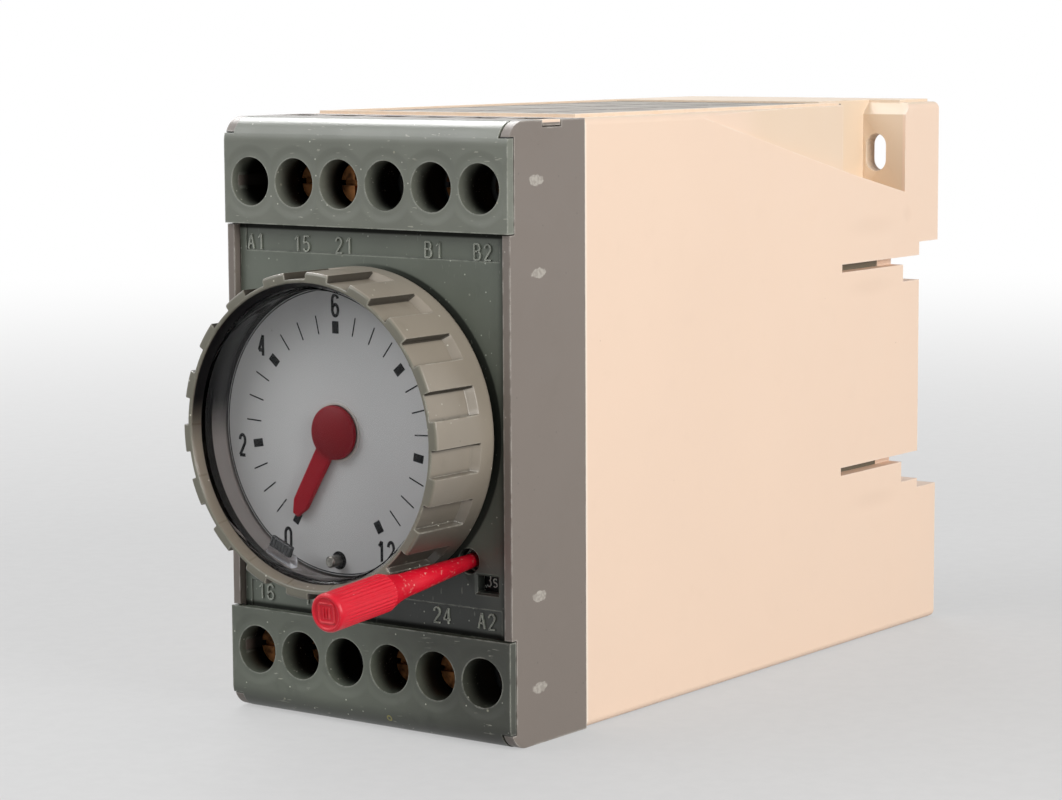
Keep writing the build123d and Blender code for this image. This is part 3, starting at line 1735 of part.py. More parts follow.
with BuildPart() as resistors:
    resistor_x = board_face - seat_gap - resistor_radius
    for y, z in resistor_places:
        for radius, length in (
            (resistor_radius, resistor_length),
            (resistor_lead_radius, resistor_lead_span),
        ):
            with Locations((resistor_x, front + y, dial_height + z)):
                Cylinder(radius, length)
        for lead_end in (-1, 1):
            with Locations(
                (
                    (resistor_x + board_face - seat_gap) / 2,
                    front + y,
                    dial_height + z + lead_end * (resistor_lead_span / 2 - resistor_lead_radius),
                )
            ):
                Box(resistor_radius, 2 * resistor_lead_radius, 2 * resistor_lead_radius)
save(resistors, "resistors")
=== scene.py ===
import bpy
import bmesh
import json
import math
from mathutils import Matrix, Vector


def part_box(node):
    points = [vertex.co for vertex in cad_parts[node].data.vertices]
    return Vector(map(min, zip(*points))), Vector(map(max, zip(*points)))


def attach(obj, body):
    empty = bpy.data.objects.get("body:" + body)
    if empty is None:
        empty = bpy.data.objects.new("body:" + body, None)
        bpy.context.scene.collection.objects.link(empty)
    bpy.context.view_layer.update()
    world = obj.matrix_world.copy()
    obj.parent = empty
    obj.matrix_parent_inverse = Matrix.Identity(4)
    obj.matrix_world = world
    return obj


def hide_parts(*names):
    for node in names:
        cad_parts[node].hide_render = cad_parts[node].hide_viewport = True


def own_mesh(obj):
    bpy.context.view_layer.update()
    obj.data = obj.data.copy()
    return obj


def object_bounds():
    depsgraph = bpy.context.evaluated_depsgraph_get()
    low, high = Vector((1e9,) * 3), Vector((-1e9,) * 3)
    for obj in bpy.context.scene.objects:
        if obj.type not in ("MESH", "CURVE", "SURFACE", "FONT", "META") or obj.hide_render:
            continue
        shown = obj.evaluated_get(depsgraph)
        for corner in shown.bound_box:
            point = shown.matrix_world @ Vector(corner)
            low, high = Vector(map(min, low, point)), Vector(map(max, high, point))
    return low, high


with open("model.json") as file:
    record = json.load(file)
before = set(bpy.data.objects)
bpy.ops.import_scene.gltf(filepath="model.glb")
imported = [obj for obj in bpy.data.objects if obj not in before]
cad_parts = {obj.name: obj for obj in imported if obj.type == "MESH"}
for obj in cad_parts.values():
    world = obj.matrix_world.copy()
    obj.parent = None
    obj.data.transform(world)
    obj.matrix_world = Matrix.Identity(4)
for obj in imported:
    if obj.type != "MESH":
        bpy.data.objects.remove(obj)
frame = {"nodes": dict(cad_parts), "record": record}
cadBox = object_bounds()
mm = 0.001
scene = bpy.context.scene
nodes = frame["nodes"]
print("frame loaded,", len(nodes), "cad nodes")

# where things are, read from the frame
coverLow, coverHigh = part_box("terminal_cover_top")
panelLow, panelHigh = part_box("front_panel")
knobLow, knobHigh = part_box("knob_ring")
windowLow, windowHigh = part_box("knob_window")
dialLow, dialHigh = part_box("dial_plate")
discLow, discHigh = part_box("range_disc")
dialCentre = Vector((0, dialLow.y, (dialLow.z + dialHigh.z) / 2))
selectorAxis = Vector(((discLow.x + discHigh.x) / 2, discLow.y, (discLow.z + discHigh.z) / 2))

# the same in millimetres
coverFront, coverTop = coverLow.y / mm, coverHigh.z / mm
panelFront, panelRight = panelLow.y / mm, panelHigh.x / mm
panelTop = coverLow.z / mm
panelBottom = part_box("terminal_cover_bottom")[1].z / mm
knobFront, knobRadius = knobLow.y / mm, knobHigh.x / mm
dialX, dialFront, dialZ = dialCentre.x / mm, dialLow.y / mm, dialCentre.z / mm
roofLevel = cadBox[1].z / mm


# small tools
def srgb(r, g, b):       # 0-255 screen colour to the linear colour that shaders take
    def lin(c):
        c = c / 255
        return c / 12.92 if c <= 0.04045 else ((c + 0.055) / 1.055) ** 2.4
    return (lin(r), lin(g), lin(b), 1.0)


def newObject(name, data):
    obj = bpy.data.objects.new(name, data)
    scene.collection.objects.link(obj)
    return obj


def edited(obj, work):   # lets a small function change the mesh
    bm = bmesh.new()
    bm.from_mesh(obj.data)
    work(bm)
    bm.to_mesh(obj.data)
    bm.free()
    return obj


def meshFrom(name, verts, faces):
    mesh = bpy.data.meshes.new(name)
    mesh.from_pydata([tuple(v) for v in verts], [], faces)
    mesh.update()
    return edited(newObject(name, mesh), lambda bm: bmesh.ops.recalc_face_normals(bm, faces=bm.faces))


def rounded(obj, width, segments, chosen=lambda edge: True):    # rounds the chosen edges, width in mm
    def work(bm):
        rim = [edge for edge in bm.edges if chosen(edge)]
        bmesh.ops.bevel(bm, geom=rim, offset=width * mm, segments=segments, affect="EDGES", profile=0.5)
    return edited(obj, work)


def bake(obj):           # puts the result of the modifiers into the mesh
    bpy.context.view_layer.update()
    final = bpy.data.meshes.new_from_object(obj.evaluated_get(bpy.context.evaluated_depsgraph_get()))
    final.name = obj.name
    old = obj.data
    if obj.type == "MESH":
        obj.modifiers.clear()
        obj.data = final
        if old.users == 0:
            bpy.data.meshes.remove(old)
        return obj
    name = obj.name
    bpy.data.objects.remove(obj)
    return newObject(name, final)


def smooth(obj, angle):
    for face in obj.data.polygons:
        face.use_smooth = True
    obj.data.set_sharp_from_angle(angle=math.radians(angle))
    return obj


def dress(obj, material, body, replaces=()):
    obj.data.materials.clear()
    obj.data.materials.append(material)
    if replaces:
        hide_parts(*replaces)
    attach(obj, body)
    return obj


def bodyOf(node):
    bodies = frame["record"]["behaviour"]["bodies"]
    return next(body for body, members in bodies.items() if node in members)


def slotOf(node):
    return next(s["material_slot"] for s in frame["record"]["subparts"] if s["node"] == node)


def dressAs(obj, material, node):      # rides and wears as that node does
    return dress(obj, material, bodyOf(node))


def standFor(obj, material, node):     # the same, and takes the node's place
    return dress(obj, material, bodyOf(node), (node,))


easing = {"segments": 2, "angle": 32, "weld": 0.002, "flat": 0.6}


def softened(node, name, material, edge, shape=None):    # a copy with its edges eased
    obj = newObject(name, nodes[node].data.copy())

    def ready(bm):
        bmesh.ops.remove_doubles(bm, verts=bm.verts, dist=easing["weld"] * mm)
        flat = math.radians(easing["flat"])
        bmesh.ops.dissolve_limit(bm, angle_limit=flat, verts=bm.verts, edges=bm.edges)
        if not node.startswith("terminal_cover"):    # long outlines fill wrongly once eased
            wide = [face for face in bm.faces if len(face.verts) > 4]
            bmesh.ops.triangulate(bm, faces=wide, quad_method="BEAUTY", ngon_method="BEAUTY")
        if shape:
            shape(bm)
        bmesh.ops.recalc_face_normals(bm, faces=bm.faces)
        for face in bm.faces:
            face.smooth = True

    edited(obj, ready)
    bevel = obj.modifiers.new("easing", "BEVEL")
    bevel.width = edge * mm
    bevel.segments = easing["segments"]
    bevel.limit_method = "ANGLE"
    bevel.angle_limit = math.radians(easing["angle"])
    bevel.use_clamp_overlap = True
    bevel.miter_outer = "MITER_ARC"
    levelling = obj.modifiers.new("levelling", "WEIGHTED_NORMAL")
    levelling.mode = "FACE_AREA"
    levelling.weight = 100
    levelling.keep_sharp = True
    bake(obj)
    for v in obj.data.vertices:        # easing may stray outside by a rounding error
        v.co = [min(max(v.co[k], cadBox[0][k]), cadBox[1][k]) for k in range(3)]
    return standFor(obj, material, node)


def lathe(name, profile, segments, wave=lambda turn, step: 0):    # turns (radius, y) in mm about Y
    verts = []
    rings = []
    for step, (radius, y) in enumerate(profile):
        turns = [2 * math.pi * i / segments for i in range(segments if radius > 0 else 1)]
        rings.append(range(len(verts), len(verts) + len(turns)))
        for turn in turns:
            r = (radius + wave(turn, step)) * mm
            verts.append((r * math.sin(turn), y * mm, r * math.cos(turn)))
    faces = []
    for a, b in zip(rings, rings[1:]):
        for i in range(segments):
            j = (i + 1) % segments
            corners = (a[i % len(a)], b[i % len(b)], b[j % len(b)], a[j % len(a)])
            faces.append(tuple(dict.fromkeys(corners)))    # a pole makes it a triangle
    return meshFrom(name, verts, faces)


def joined(name, parts):
    bm = bmesh.new()
    for part in parts:
        part.data.transform(part.matrix_world)
        bm.from_mesh(part.data)
        bpy.data.objects.remove(part)
    mesh = bpy.data.meshes.new(name)
    bm.to_mesh(mesh)
    bm.free()
    return newObject(name, mesh)


def bar(name, low, high, ease):        # block between two corners in mm, edges eased
    obj = newObject(name, bpy.data.meshes.new(name))

    def work(bm):
        bmesh.ops.create_cube(bm, size=1)
        for v in bm.verts:
            v.co = Vector([(low[k] + high[k]) / 2 * mm + v.co[k] * (high[k] - low[k]) * mm for k in range(3)])
        bmesh.ops.bevel(bm, geom=bm.edges[:], offset=ease * mm, segments=2, affect="EDGES", profile=0.5)

    return edited(obj, work)


def turnedAbout(obj, centre, degrees):    # clockwise as seen from the front
    turn = Matrix.Rotation(math.radians(degrees), 4, "Y")
    obj.data.transform(Matrix.Translation(centre) @ turn @ Matrix.Translation(-centre))
    return obj


def ontoDialAxis(obj):
    obj.data.transform(Matrix.Translation((0, 0, dialCentre.z)))
    return obj


# wiring of shader nodes, for materials and for the world
class Wiring:
    def __init__(self, owner):
        owner.use_nodes = True
        self.tree = owner.node_tree
        self.tree.nodes.clear()

    def add(self, kind, wires={}, **settings):
        node = self.tree.nodes.new(kind)
        for key, value in settings.items():
            setattr(node, key, value)
        for socket, value in wires.items():
            self.plug(node.inputs[socket], value)
        return node

    def plug(self, socket, value):
        if isinstance(value, bpy.types.NodeSocket):
            self.tree.links.new(value, socket)
        else:
            socket.default_value = value

    def math(self, operation, a, b=0.0):
        return self.add("ShaderNodeMath", {0: a, 1: b}, operation=operation).outputs[0]

    def plus(self, a, b):
        return self.math("ADD", a, b)

    def minus(self, a, b):
        return self.math("SUBTRACT", a, b)

    def times(self, a, b):
        return self.math("MULTIPLY", a, b)

    def most(self, a, b):
        return self.math("MAXIMUM", a, b)

    def rest(self, mask):              # what a mask leaves
        return self.minus(1.0, mask)

    def size(self, a):
        return self.math("ABSOLUTE", a)

    def reach(self, a, b):             # how far from a centre, across and up
        return self.math("SQRT", self.plus(self.times(a, a), self.times(b, b)))

    def glow(self, kind, colour, strength):
        return self.add(kind, {"Color": colour, "Strength": strength}).outputs[0]

    def blend(self, share, first, second):    # of two shaders
        return self.add("ShaderNodeMixShader", {0: share, 1: first, 2: second}).outputs[0]

    def backdropRays(self):            # 1 where the eye meets the backdrop, direct, mirrored or through glass
        path = self.add("ShaderNodeLightPath").outputs
        return self.most(self.most(path["Is Camera Ray"], path["Is Glossy Ray"]), path["Is Transmission Ray"])


# materials: one small painter that works in millimetres of the object's own space
class Painter(Wiring):
    def __init__(self, name):
        self.material = bpy.data.materials.new(name)
        super().__init__(self.material)
        coordinates = self.add("ShaderNodeTexCoord").outputs["Object"]
        self.place = self.vector("SCALE", {0: coordinates, "Scale": 1 / mm})
        self.geometry = self.add("ShaderNodeNewGeometry")
        self.dull = None               # a mask where the surface loses its shine

    def vector(self, operation, wires, result="Vector"):
        return self.add("ShaderNodeVectorMath", wires, operation=operation).outputs[result]

    def axes(self, vector=None):
        return self.add("ShaderNodeSeparateXYZ", {0: vector or self.place}).outputs[:]

    def range(self, value, low, high, outLow=0.0, outHigh=1.0):    # a soft step
        wires = {"Value": value, "From Min": low, "From Max": high, "To Min": outLow, "To Max": outHigh}
        return self.add("ShaderNodeMapRange", wires, interpolation_type="SMOOTHSTEP").outputs[0]

    def fall(self, value, low, high, top=1.0):    # a soft step down to nothing
        return self.range(value, low, high, top, 0.0)

    def past(self, value, line, blur):
        return self.range(value, line, line + blur)

    def before(self, value, line, blur):
        return self.fall(value, line, line + blur)

    def oval(self, at, centre, half):    # 0 at the centre of an oval, 1 on its rim
        away = [self.math("DIVIDE", self.minus(a, c), h) for a, c, h in zip(at, centre, half)]
        return self.reach(*away)

    def noise(self, size, detail, stretch=None, seed=0.0, roughness=0.5):    # size of a patch in mm
        place = self.vector("MULTIPLY", {0: self.place, 1: stretch}) if stretch else self.place
        wires = {"Vector": place, "W": seed, "Scale": 1 / size, "Detail": detail, "Roughness": roughness}
        return self.add("ShaderNodeTexNoise", wires, noise_dimensions="4D").outputs["Fac"]

    def specks(self, spacing, size, share, seed):    # small round flecks, 1 on a fleck
        shifted = self.vector("ADD", {0: self.place, 1: (seed * 7.3, seed * 3.1, seed * 5.7)})
        cells = self.add("ShaderNodeTexVoronoi", {"Vector": shifted, "Scale": 1 / spacing}).outputs
        dot = self.range(cells["Distance"], size / spacing * 0.5, size / spacing)
        chosen = self.range(self.axes(cells["Color"])[0], share, share * 1.02)
        return self.times(self.rest(dot), self.rest(chosen))

    def mix(self, share, a, b):
        return self.add("ShaderNodeMix", {"Factor": share, 6: a, 7: b}, data_type="RGBA").outputs[2]

    def tint(self, colour, other, mask, strength):    # lays another colour over part of the first
        return self.mix(self.times(mask, strength), colour, other)

    def shining(self, mask):           # takes the dull places out of a mask
        return mask if self.dull is None else self.times(mask, self.rest(self.dull))

    def edges(self, radius):           # 1 on outward and inward edges
        eased = self.add("ShaderNodeBevel", {"Radius": radius * mm}, samples=6).outputs[0]
        along = self.vector("DOT_PRODUCT", {0: eased, 1: self.geometry.outputs["Normal"]}, "Value")
        return self.range(self.rest(along), 0.012, 0.09)

    def corners(self, reach):          # 1 in inward corners
        shaded = self.add("ShaderNodeAmbientOcclusion", {"Distance": reach * mm}, samples=4, only_local=True)
        return self.fall(shaded.outputs["AO"], 0.5, 0.93)

    def bump(self, height, depth):
        wires = {"Height": height, "Distance": depth * mm, "Strength": 1.0}
        return self.add("ShaderNodeBump", wires).outputs[0]

    def finish(self, colour, roughness, normal, **values):
        wires = {"Base Color": colour, "Roughness": roughness, "Normal": normal, **values}
        self.shader = self.add("ShaderNodeBsdfPrincipled", wires).outputs[0]
        self.surface = self.add("ShaderNodeOutputMaterial", {"Surface": self.shader}).inputs["Surface"]
        return self.material


def shade(colour, by):
    return tuple(min(1.0, c * by) for c in colour[:3]) + (1.0,)


plainPlastic = {"cloud": 14, "cloudShare": 0.5, "cloudShade": 0.93, "grime": 0.12, "grain": 0.12, "sheen": 5,
                "wearAndGlint": 0, "wearGlintWidth": 0.4, "wearGlintFrom": 0.34, "corner": 0, "cornerReach": 0.6, "flecks": (),
                "scratches": None, "depth": 0.012, "shine": 0.5, "dullShine": 0.04}
plainMetal = {"cloud": 2.5, "tarnish": 0.6, "brush": (1, 1, 1), "depth": 0.006}


def moulded(name, look, extra=None):    # injection-moulded plastic
    look = {**plainPlastic, **look}
    p = Painter(name)
    base = look["colour"]
    cloud = p.range(p.noise(look["cloud"], 3, seed=1), 0.3, 0.7)
    colour = p.tint(base, shade(base, look["cloudShade"]), cloud, look["cloudShare"])
    grime = p.range(p.noise(3.5, 5, seed=2), 0.56, 0.8)
    colour = p.tint(colour, look.get("grimeColour", shade(base, 0.6)), grime, look["grime"])
    height = p.noise(look["grain"], 3, seed=3)
    if extra:
        colour, height = extra(p, colour, height)
    # paler eased edges: real wear broken up by noise, and also a painted highlight along the edges
    if look["wearAndGlint"]:
        wornAndGlinting = p.times(p.edges(look["wearGlintWidth"]), p.range(p.noise(1.6, 4, seed=4), look["wearGlintFrom"], 0.58))
        # painted shade: inward corners, found by the AO node, are darkened in the colour
        if look["corner"]:
            inward = p.corners(look["cornerReach"])
            wornAndGlinting = p.times(wornAndGlinting, p.rest(inward))
            colour = p.tint(colour, shade(base, 0.16), inward, look["corner"])
        colour = p.tint(colour, look["wearGlintColour"], p.shining(wornAndGlinting), look["wearAndGlint"])
    for seed, (spacing, size, share, strength, fleck) in enumerate(look["flecks"]):
        spots = p.specks(spacing, size, share, 5.3 + seed * 3.1)
        colour = p.tint(colour, fleck, p.shining(spots), strength)
    if look["scratches"]:
        strength, stretch, scratched = look["scratches"]
        fine = p.range(p.noise(0.3, 2, stretch=stretch, seed=9), 0.66, 0.70)
        lines = p.times(fine, p.range(p.noise(6, 2, seed=10), 0.48, 0.6))
        colour = p.tint(colour, scratched, lines, strength)
    rough = p.range(p.noise(look["sheen"], 4, seed=6), 0.3, 0.7, *look["roughness"])
    shine = look["shine"]
    if p.dull is not None:
        shine = p.range(p.dull, 0.0, 1.0, shine, look["dullShine"])
    return p.finish(colour, rough, p.bump(height, look["depth"]), **{"Specular IOR Level": shine})


def metal(name, look):
    look = {**plainMetal, **look}
    p = Painter(name)
    cloud = p.range(p.noise(look["cloud"], 4, seed=1), 0.35, 0.7)
    colour = p.tint(look["colour"], look["tarnishColour"], cloud, look["tarnish"])
    lines = p.noise(0.09, 3, stretch=look["brush"], seed=3)
    rough = p.range(lines, 0.3, 0.7, *look["roughness"])
    return p.finish(colour, rough, p.bump(lines, look["depth"]), Metallic=1.0)


# the cream case; the frame's look stands here too, as the notch takes its colour
housingLook = {"colour": srgb(241, 214, 192), "cloud": 30, "cloudShade": 0.965,
               "grime": 0.035, "grimeColour": srgb(190, 165, 140),
               "roughness": (0.40, 0.50), "grain": 0.14, "depth": 0.006,
               "wearAndGlint": 0.35, "wearGlintColour": srgb(250, 240, 228),
               "flecks": ((3.2, 0.17, 0.22, 0.8, srgb(150, 115, 85)),
                          (1.9, 0.12, 0.14, 0.6, srgb(120, 100, 80)))}
frameLook = {"colour": srgb(124, 115, 108), "cloud": 16, "cloudShade": 0.94,
             "grime": 0.10, "grimeColour": srgb(100, 93, 86),
             "roughness": (0.36, 0.48), "grain": 0.13, "depth": 0.009,
             "wearAndGlint": 0.6, "wearGlintColour": srgb(200, 196, 188), "corner": 0.7,
             "flecks": ((1.3, 0.12, 0.16, 0.55, srgb(205, 198, 188)),
                        (1.7, 0.13, 0.12, 0.5, srgb(84, 78, 72)))}
sinkMarksAndShade = {"places": ((33.0, 58.0, 8.5, 2.1), (33.0, 49.6, 8.5, 1.8), (34.0, 19.4, 9.0, 1.9),
                        (43.0, 59.2, 1.7, 1.7)),    # y, z, half length and half height
             "depth": 0.06, "colour": srgb(212, 184, 162), "strength": 0.16}
seamHighlight = {"y": -36.25, "blur": 0.1, "fade": 0.5,    # where the case meets the frame, with a painted highlight line along it
        "colour": srgb(255, 246, 234), "strength": 0.6}
catchLine = 74.62
pocket = {"front": 26.9, "floor": 61.0, "floorToneAndShade": srgb(226, 208, 180), "floorStrength": 0.55,
          "ramp": 21.4, "rampFloor": 55.0, "rampShadeColour": srgb(226, 205, 178), "rampStrength": 0.5}


def withSinks(p, colour, height):    # soft dents by the slits darkened with painted shade, a lug pocket painted yellower with painted shade on its sunk ramp and floor, a painted highlight line at the seam
    x, y, z = p.axes()
    for cy, cz, halfLength, halfHeight in sinkMarksAndShade["places"]:
        dent = p.fall(p.oval((y, z), (cy, cz), (halfLength, halfHeight)), 0.1, 1.0)
        height = p.minus(height, p.times(dent, sinkMarksAndShade["depth"] / housingLook["depth"]))
        # painted shade darkens each dent
        colour = p.tint(colour, sinkMarksAndShade["colour"], dent, sinkMarksAndShade["strength"])
    # the sunk pocket: its ramp is darkened as painted shade; its floor is painted yellower, its own tone, and
    # darker, painted shade
    sunk = p.before(p.size(x), pocket["ramp"], 0.3)
    onFloor = p.times(p.past(y, pocket["front"], 0.3), p.past(z, pocket["floor"], 0.5))
    onRamp = p.times(p.past(z, pocket["rampFloor"], 0.5), p.rest(onFloor))
    colour = p.tint(colour, pocket["rampShadeColour"], sunk, p.times(onRamp, pocket["rampStrength"]))
    colour = p.tint(colour, pocket["floorToneAndShade"], sunk, p.times(onFloor, pocket["floorStrength"]))
    notch = p.times(p.before(y, seamHighlight["y"] - 0.4, 0.2), p.before(z, catchLine, 0.1))
    colour = p.mix(notch, colour, frameLook["colour"])    # the catch shows only as a pale line in its notch
    # painted highlight: a pale line along the seam
    line = p.times(p.range(y, seamHighlight["y"] - seamHighlight["blur"], seamHighlight["y"]),
                   p.fall(y, seamHighlight["y"] + seamHighlight["blur"], seamHighlight["y"] + seamHighlight["fade"]))
    return p.tint(colour, seamHighlight["colour"], line, seamHighlight["strength"]), height


ivory = moulded("ivoryPlastic", housingLook, withSinks)


# the grey front frame
ovalScuffs = {"places": ((-46.3, 67.9), (-45.9, 56.9), (-45.9, 18.05), (-46.0, 6.9)), "half": (1.6, 0.72),
              "side": 21.7, "colour": srgb(198, 193, 184), "strength": 0.62, "lift": 1.5}
frameInside = {"side": 21.0, "from": 1.5, "to": 3.5, "shadeBlack": srgb(16, 15, 15), "strength": 0.9,
               "roofShare": 0.3, "roof": 1.1, "floor": 0.4, "blur": 0.3}


def withOvals(p, colour, height):    # pale scuffed ovals on both sides
    x, y, z = p.axes()
    nearest = None
    for centre in ovalScuffs["places"]:
        away = p.oval((y, z), centre, ovalScuffs["half"])
        nearest = away if nearest is None else p.math("MINIMUM", nearest, away)
    ragged = p.plus(nearest, p.range(p.noise(0.7, 3, seed=12), 0.3, 0.7, -0.12, 0.16))
    onSide = p.times(p.fall(ragged, 0.8, 1.0), p.past(p.size(x), ovalScuffs["side"], 0.2))
    mask = p.times(onSide, p.range(p.noise(0.42, 3, seed=13), 0.4, 0.6, 0.55, 1.0))
    colour = p.tint(colour, ovalScuffs["colour"], mask, ovalScuffs["strength"])
    return colour, p.plus(height, p.times(mask, ovalScuffs["lift"]))


def withDarkInside(p, colour, height):    # scuffed ovals outside, shade inside
    colour, height = withOvals(p, colour, height)
    x, y, z = p.axes()
    inside = p.times(p.before(p.size(x), frameInside["side"], frameInside["blur"]),
                     p.range(y, coverFront + frameInside["from"], coverFront + frameInside["to"]))
    roof, floor, dim = roofLevel - frameInside["roof"], frameInside["floor"], frameInside["roofShare"]
    shut = p.times(p.range(z, roof, roof + frameInside["blur"], 1.0, dim),    # roof and floor darken less
                   p.range(z, floor, floor + frameInside["blur"], dim, 1.0))
    p.dull = p.times(inside, shut)
    return p.tint(colour, frameInside["shadeBlack"], p.dull, frameInside["strength"]), height


frameGrey = moulded("framePlastic", frameLook, withDarkInside)


# the terminal covers
coverLook = {"colour": srgb(116, 119, 109), "cloud": 9, "cloudShare": 0.8, "cloudShade": 0.86,
             "grime": 0.18, "grimeColour": srgb(72, 76, 68),
             "roughness": (0.28, 0.38), "grain": 0.13, "depth": 0.010,
             "wearAndGlint": 0.62, "wearGlintColour": srgb(178, 180, 170), "wearGlintWidth": 0.36, "corner": 0.7,
             "flecks": ((0.9, 0.13, 0.26, 0.8, srgb(212, 213, 198)),
                        (1.7, 0.2, 0.14, 0.65, srgb(172, 170, 150))),
             "scratches": (0.45, (0.2, 1, 1), srgb(192, 191, 176))}
# the lower cover is the same plastic; its darker colour is painted shade, its heavier grime real dirt
lowerShadedLook = {**coverLook, "colour": srgb(104, 109, 98), "cloudShade": 0.78,
             "grime": 0.45, "grimeColour": srgb(58, 62, 54)}
sinkHalo = {"pitch": 7.12, "hole": 3.3, "inner": 3.5, "outer": 4.7, "depth": 0.13,
            "litDepth": 0.5, "darkDepth": 3.4, "shadeBlack": srgb(12, 11, 11), "upper": 67.05, "lower": 7.95}
scrape = {"x": 3.3, "z": 1.75, "radius": 0.3, "colour": srgb(158, 150, 78), "strength": 0.85}
lowShade = {"footShade": srgb(26, 28, 25), "footShadeStrength": 0.55, "right": srgb(44, 44, 38), "rightStrength": 0.7}


def withHalos(rowHeight, shadedAndScraped):    # shallow sink rings round the driver holes, whose depth is painted near black as painted shade
    def add(p, colour, height):
        x, y, z = p.axes()
        turns = p.math("DIVIDE", x, sinkHalo["pitch"])
        across = p.times(p.minus(p.math("FRACT", turns), 0.5), sinkHalo["pitch"])
        away = p.reach(across, p.minus(z, rowHeight))
        ring = p.range(away, sinkHalo["inner"], sinkHalo["outer"])
        height = p.plus(height, p.times(ring, sinkHalo["depth"] / coverLook["depth"]))
        deep = p.range(y, coverFront + sinkHalo["litDepth"], coverFront + sinkHalo["darkDepth"])
        hole = p.times(p.before(away, sinkHalo["hole"], 0.05), deep)
        roof = p.times(p.past(y, coverFront + 1.4, 1.4), p.past(z, coverTop - 1.2, 0.7))
        p.dull = p.most(hole, p.times(roof, 0.8))
        # painted shade: the hole's depth is painted near black
        colour = p.mix(hole, colour, sinkHalo["shadeBlack"])
        if shadedAndScraped:      # painted shade, darker towards the foot and the right end, with one small ochre scrape
            colour = p.mix(p.fall(z, 0.3, 4.2, lowShade["footShadeStrength"]), colour, lowShade["footShade"])
            centreAway = p.reach(p.minus(x, scrape["x"]), p.minus(z, scrape["z"]))
            off = p.size(p.minus(centreAway, scrape["radius"]))
            colour = p.tint(colour, scrape["colour"], p.fall(off, 0.06, 0.13), scrape["strength"])
            # painted shade towards the right end
            wavering = p.plus(x, p.range(p.noise(9, 2, seed=31), 0.3, 0.7, -5.0, 5.0))
            colour = p.tint(colour, lowShade["right"], p.range(wavering, -4.0, 21.0), lowShade["rightStrength"])
        return colour, height
    return add


coverTopGrey = moulded("coverPlasticTop", coverLook, withHalos(sinkHalo["upper"], False))
coverBottomGrey = moulded("coverPlasticBottom", lowerShadedLook, withHalos(sinkHalo["lower"], True))


# the sunk panel and its raised marks
panelLook = {"colour": srgb(103, 109, 99), "cloud": 7, "cloudShare": 0.8, "cloudShade": 0.82,
             "grime": 0.2, "grimeColour": srgb(58, 62, 58),
             "roughness": (0.32, 0.44), "grain": 0.13, "depth": 0.010,
             "wearAndGlint": 0.7, "wearGlintColour": srgb(168, 172, 160), "wearGlintWidth": 0.3, "corner": 0.85,
             "flecks": ((0.75, 0.12, 0.26, 0.8, srgb(196, 200, 188)),
                        (1.5, 0.18, 0.16, 0.65, srgb(150, 152, 140))),
             "scratches": (0.5, (1, 1, 0.2), srgb(150, 154, 143))}
# the raised marks' pale edges are mostly a painted highlight along the strokes, with some wear
markLook = {**panelLook, "colour": srgb(122, 127, 117), "wearAndGlint": 1.0, "wearGlintWidth": 0.14, "wearGlintFrom": 0.2,
            "wearGlintColour": srgb(208, 212, 200)}
keyShadow = {"centre": (9.0, 17.0), "half": (15.0, 9.5), "colour": srgb(30, 32, 32), "strength": 0.86}
panelShade = {"colour": srgb(20, 20, 19), "strength": 0.88, "ring": 0.9, "right": 0.6, "dull": 0.9}


def withPanelShade(p, colour, height):    # painted shade in the corners and round the knob, a painted shadow under the key
    x, y, z = p.axes()
    away = p.reach(x, p.minus(z, dialZ))
    ring = p.times(p.fall(away, knobRadius, knobRadius + 0.35, panelShade["ring"]), p.range(x, -8.0, 8.0))
    shadow = p.fall(p.oval((x, z), keyShadow["centre"], keyShadow["half"]), 0.45, 1.0, keyShadow["strength"])
    colour = p.mix(shadow, colour, keyShadow["colour"])
    # painted shade under the cover's edge, above the lower cover and along the frame's side
    above = p.past(z, panelTop - 0.85, 0.35)
    below = p.before(z, panelBottom + 0.25, 0.65)
    right = p.past(x, panelRight - 1.6, 1.2)
    dark = p.most(p.most(ring, above), p.most(below, p.times(right, panelShade["right"])))
    p.dull = p.times(dark, panelShade["dull"])
    return p.tint(colour, panelShade["colour"], dark, panelShade["strength"]), height


panelGrey = moulded("panelPlastic", panelLook, withPanelShade)
markGrey = moulded("markPlastic", markLook)


# the knob's rim
knobLook = {"colour": srgb(146, 137, 124), "cloud": 8, "cloudShare": 0.8, "cloudShade": 0.86,
            "grime": 0.26, "grimeColour": srgb(104, 98, 86),
            "roughness": (0.28, 0.38), "depth": 0.008,
            "wearAndGlint": 0.55, "wearGlintColour": srgb(222, 219, 206), "wearGlintWidth": 0.3, "wearGlintFrom": 0.36,
            "corner": 0.9, "cornerReach": 0.5,
            "flecks": ((1.0, 0.14, 0.2, 0.75, srgb(222, 220, 205)),
                       (1.5, 0.13, 0.14, 0.55, srgb(92, 90, 78)))}
flare = {"back": -61.6, "inner": 17.95, "outer": 18.5, "reach": 18.45}
rim = {"pocketFrom": 84.5, "pocketPitch": 20.0, "pocketEdge": 0.19, "pocketEnd": -54.6,
       "line": srgb(44, 42, 38), "pocketShadowStrength": 0.85, "front": srgb(84, 88, 74), "frontStrength": 0.6,
       "footShade": srgb(48, 46, 41)}
bore = {"band": -59.65, "beige": srgb(124, 115, 102), "shadeBlack": srgb(20, 19, 20), "grey": srgb(150, 142, 138)}


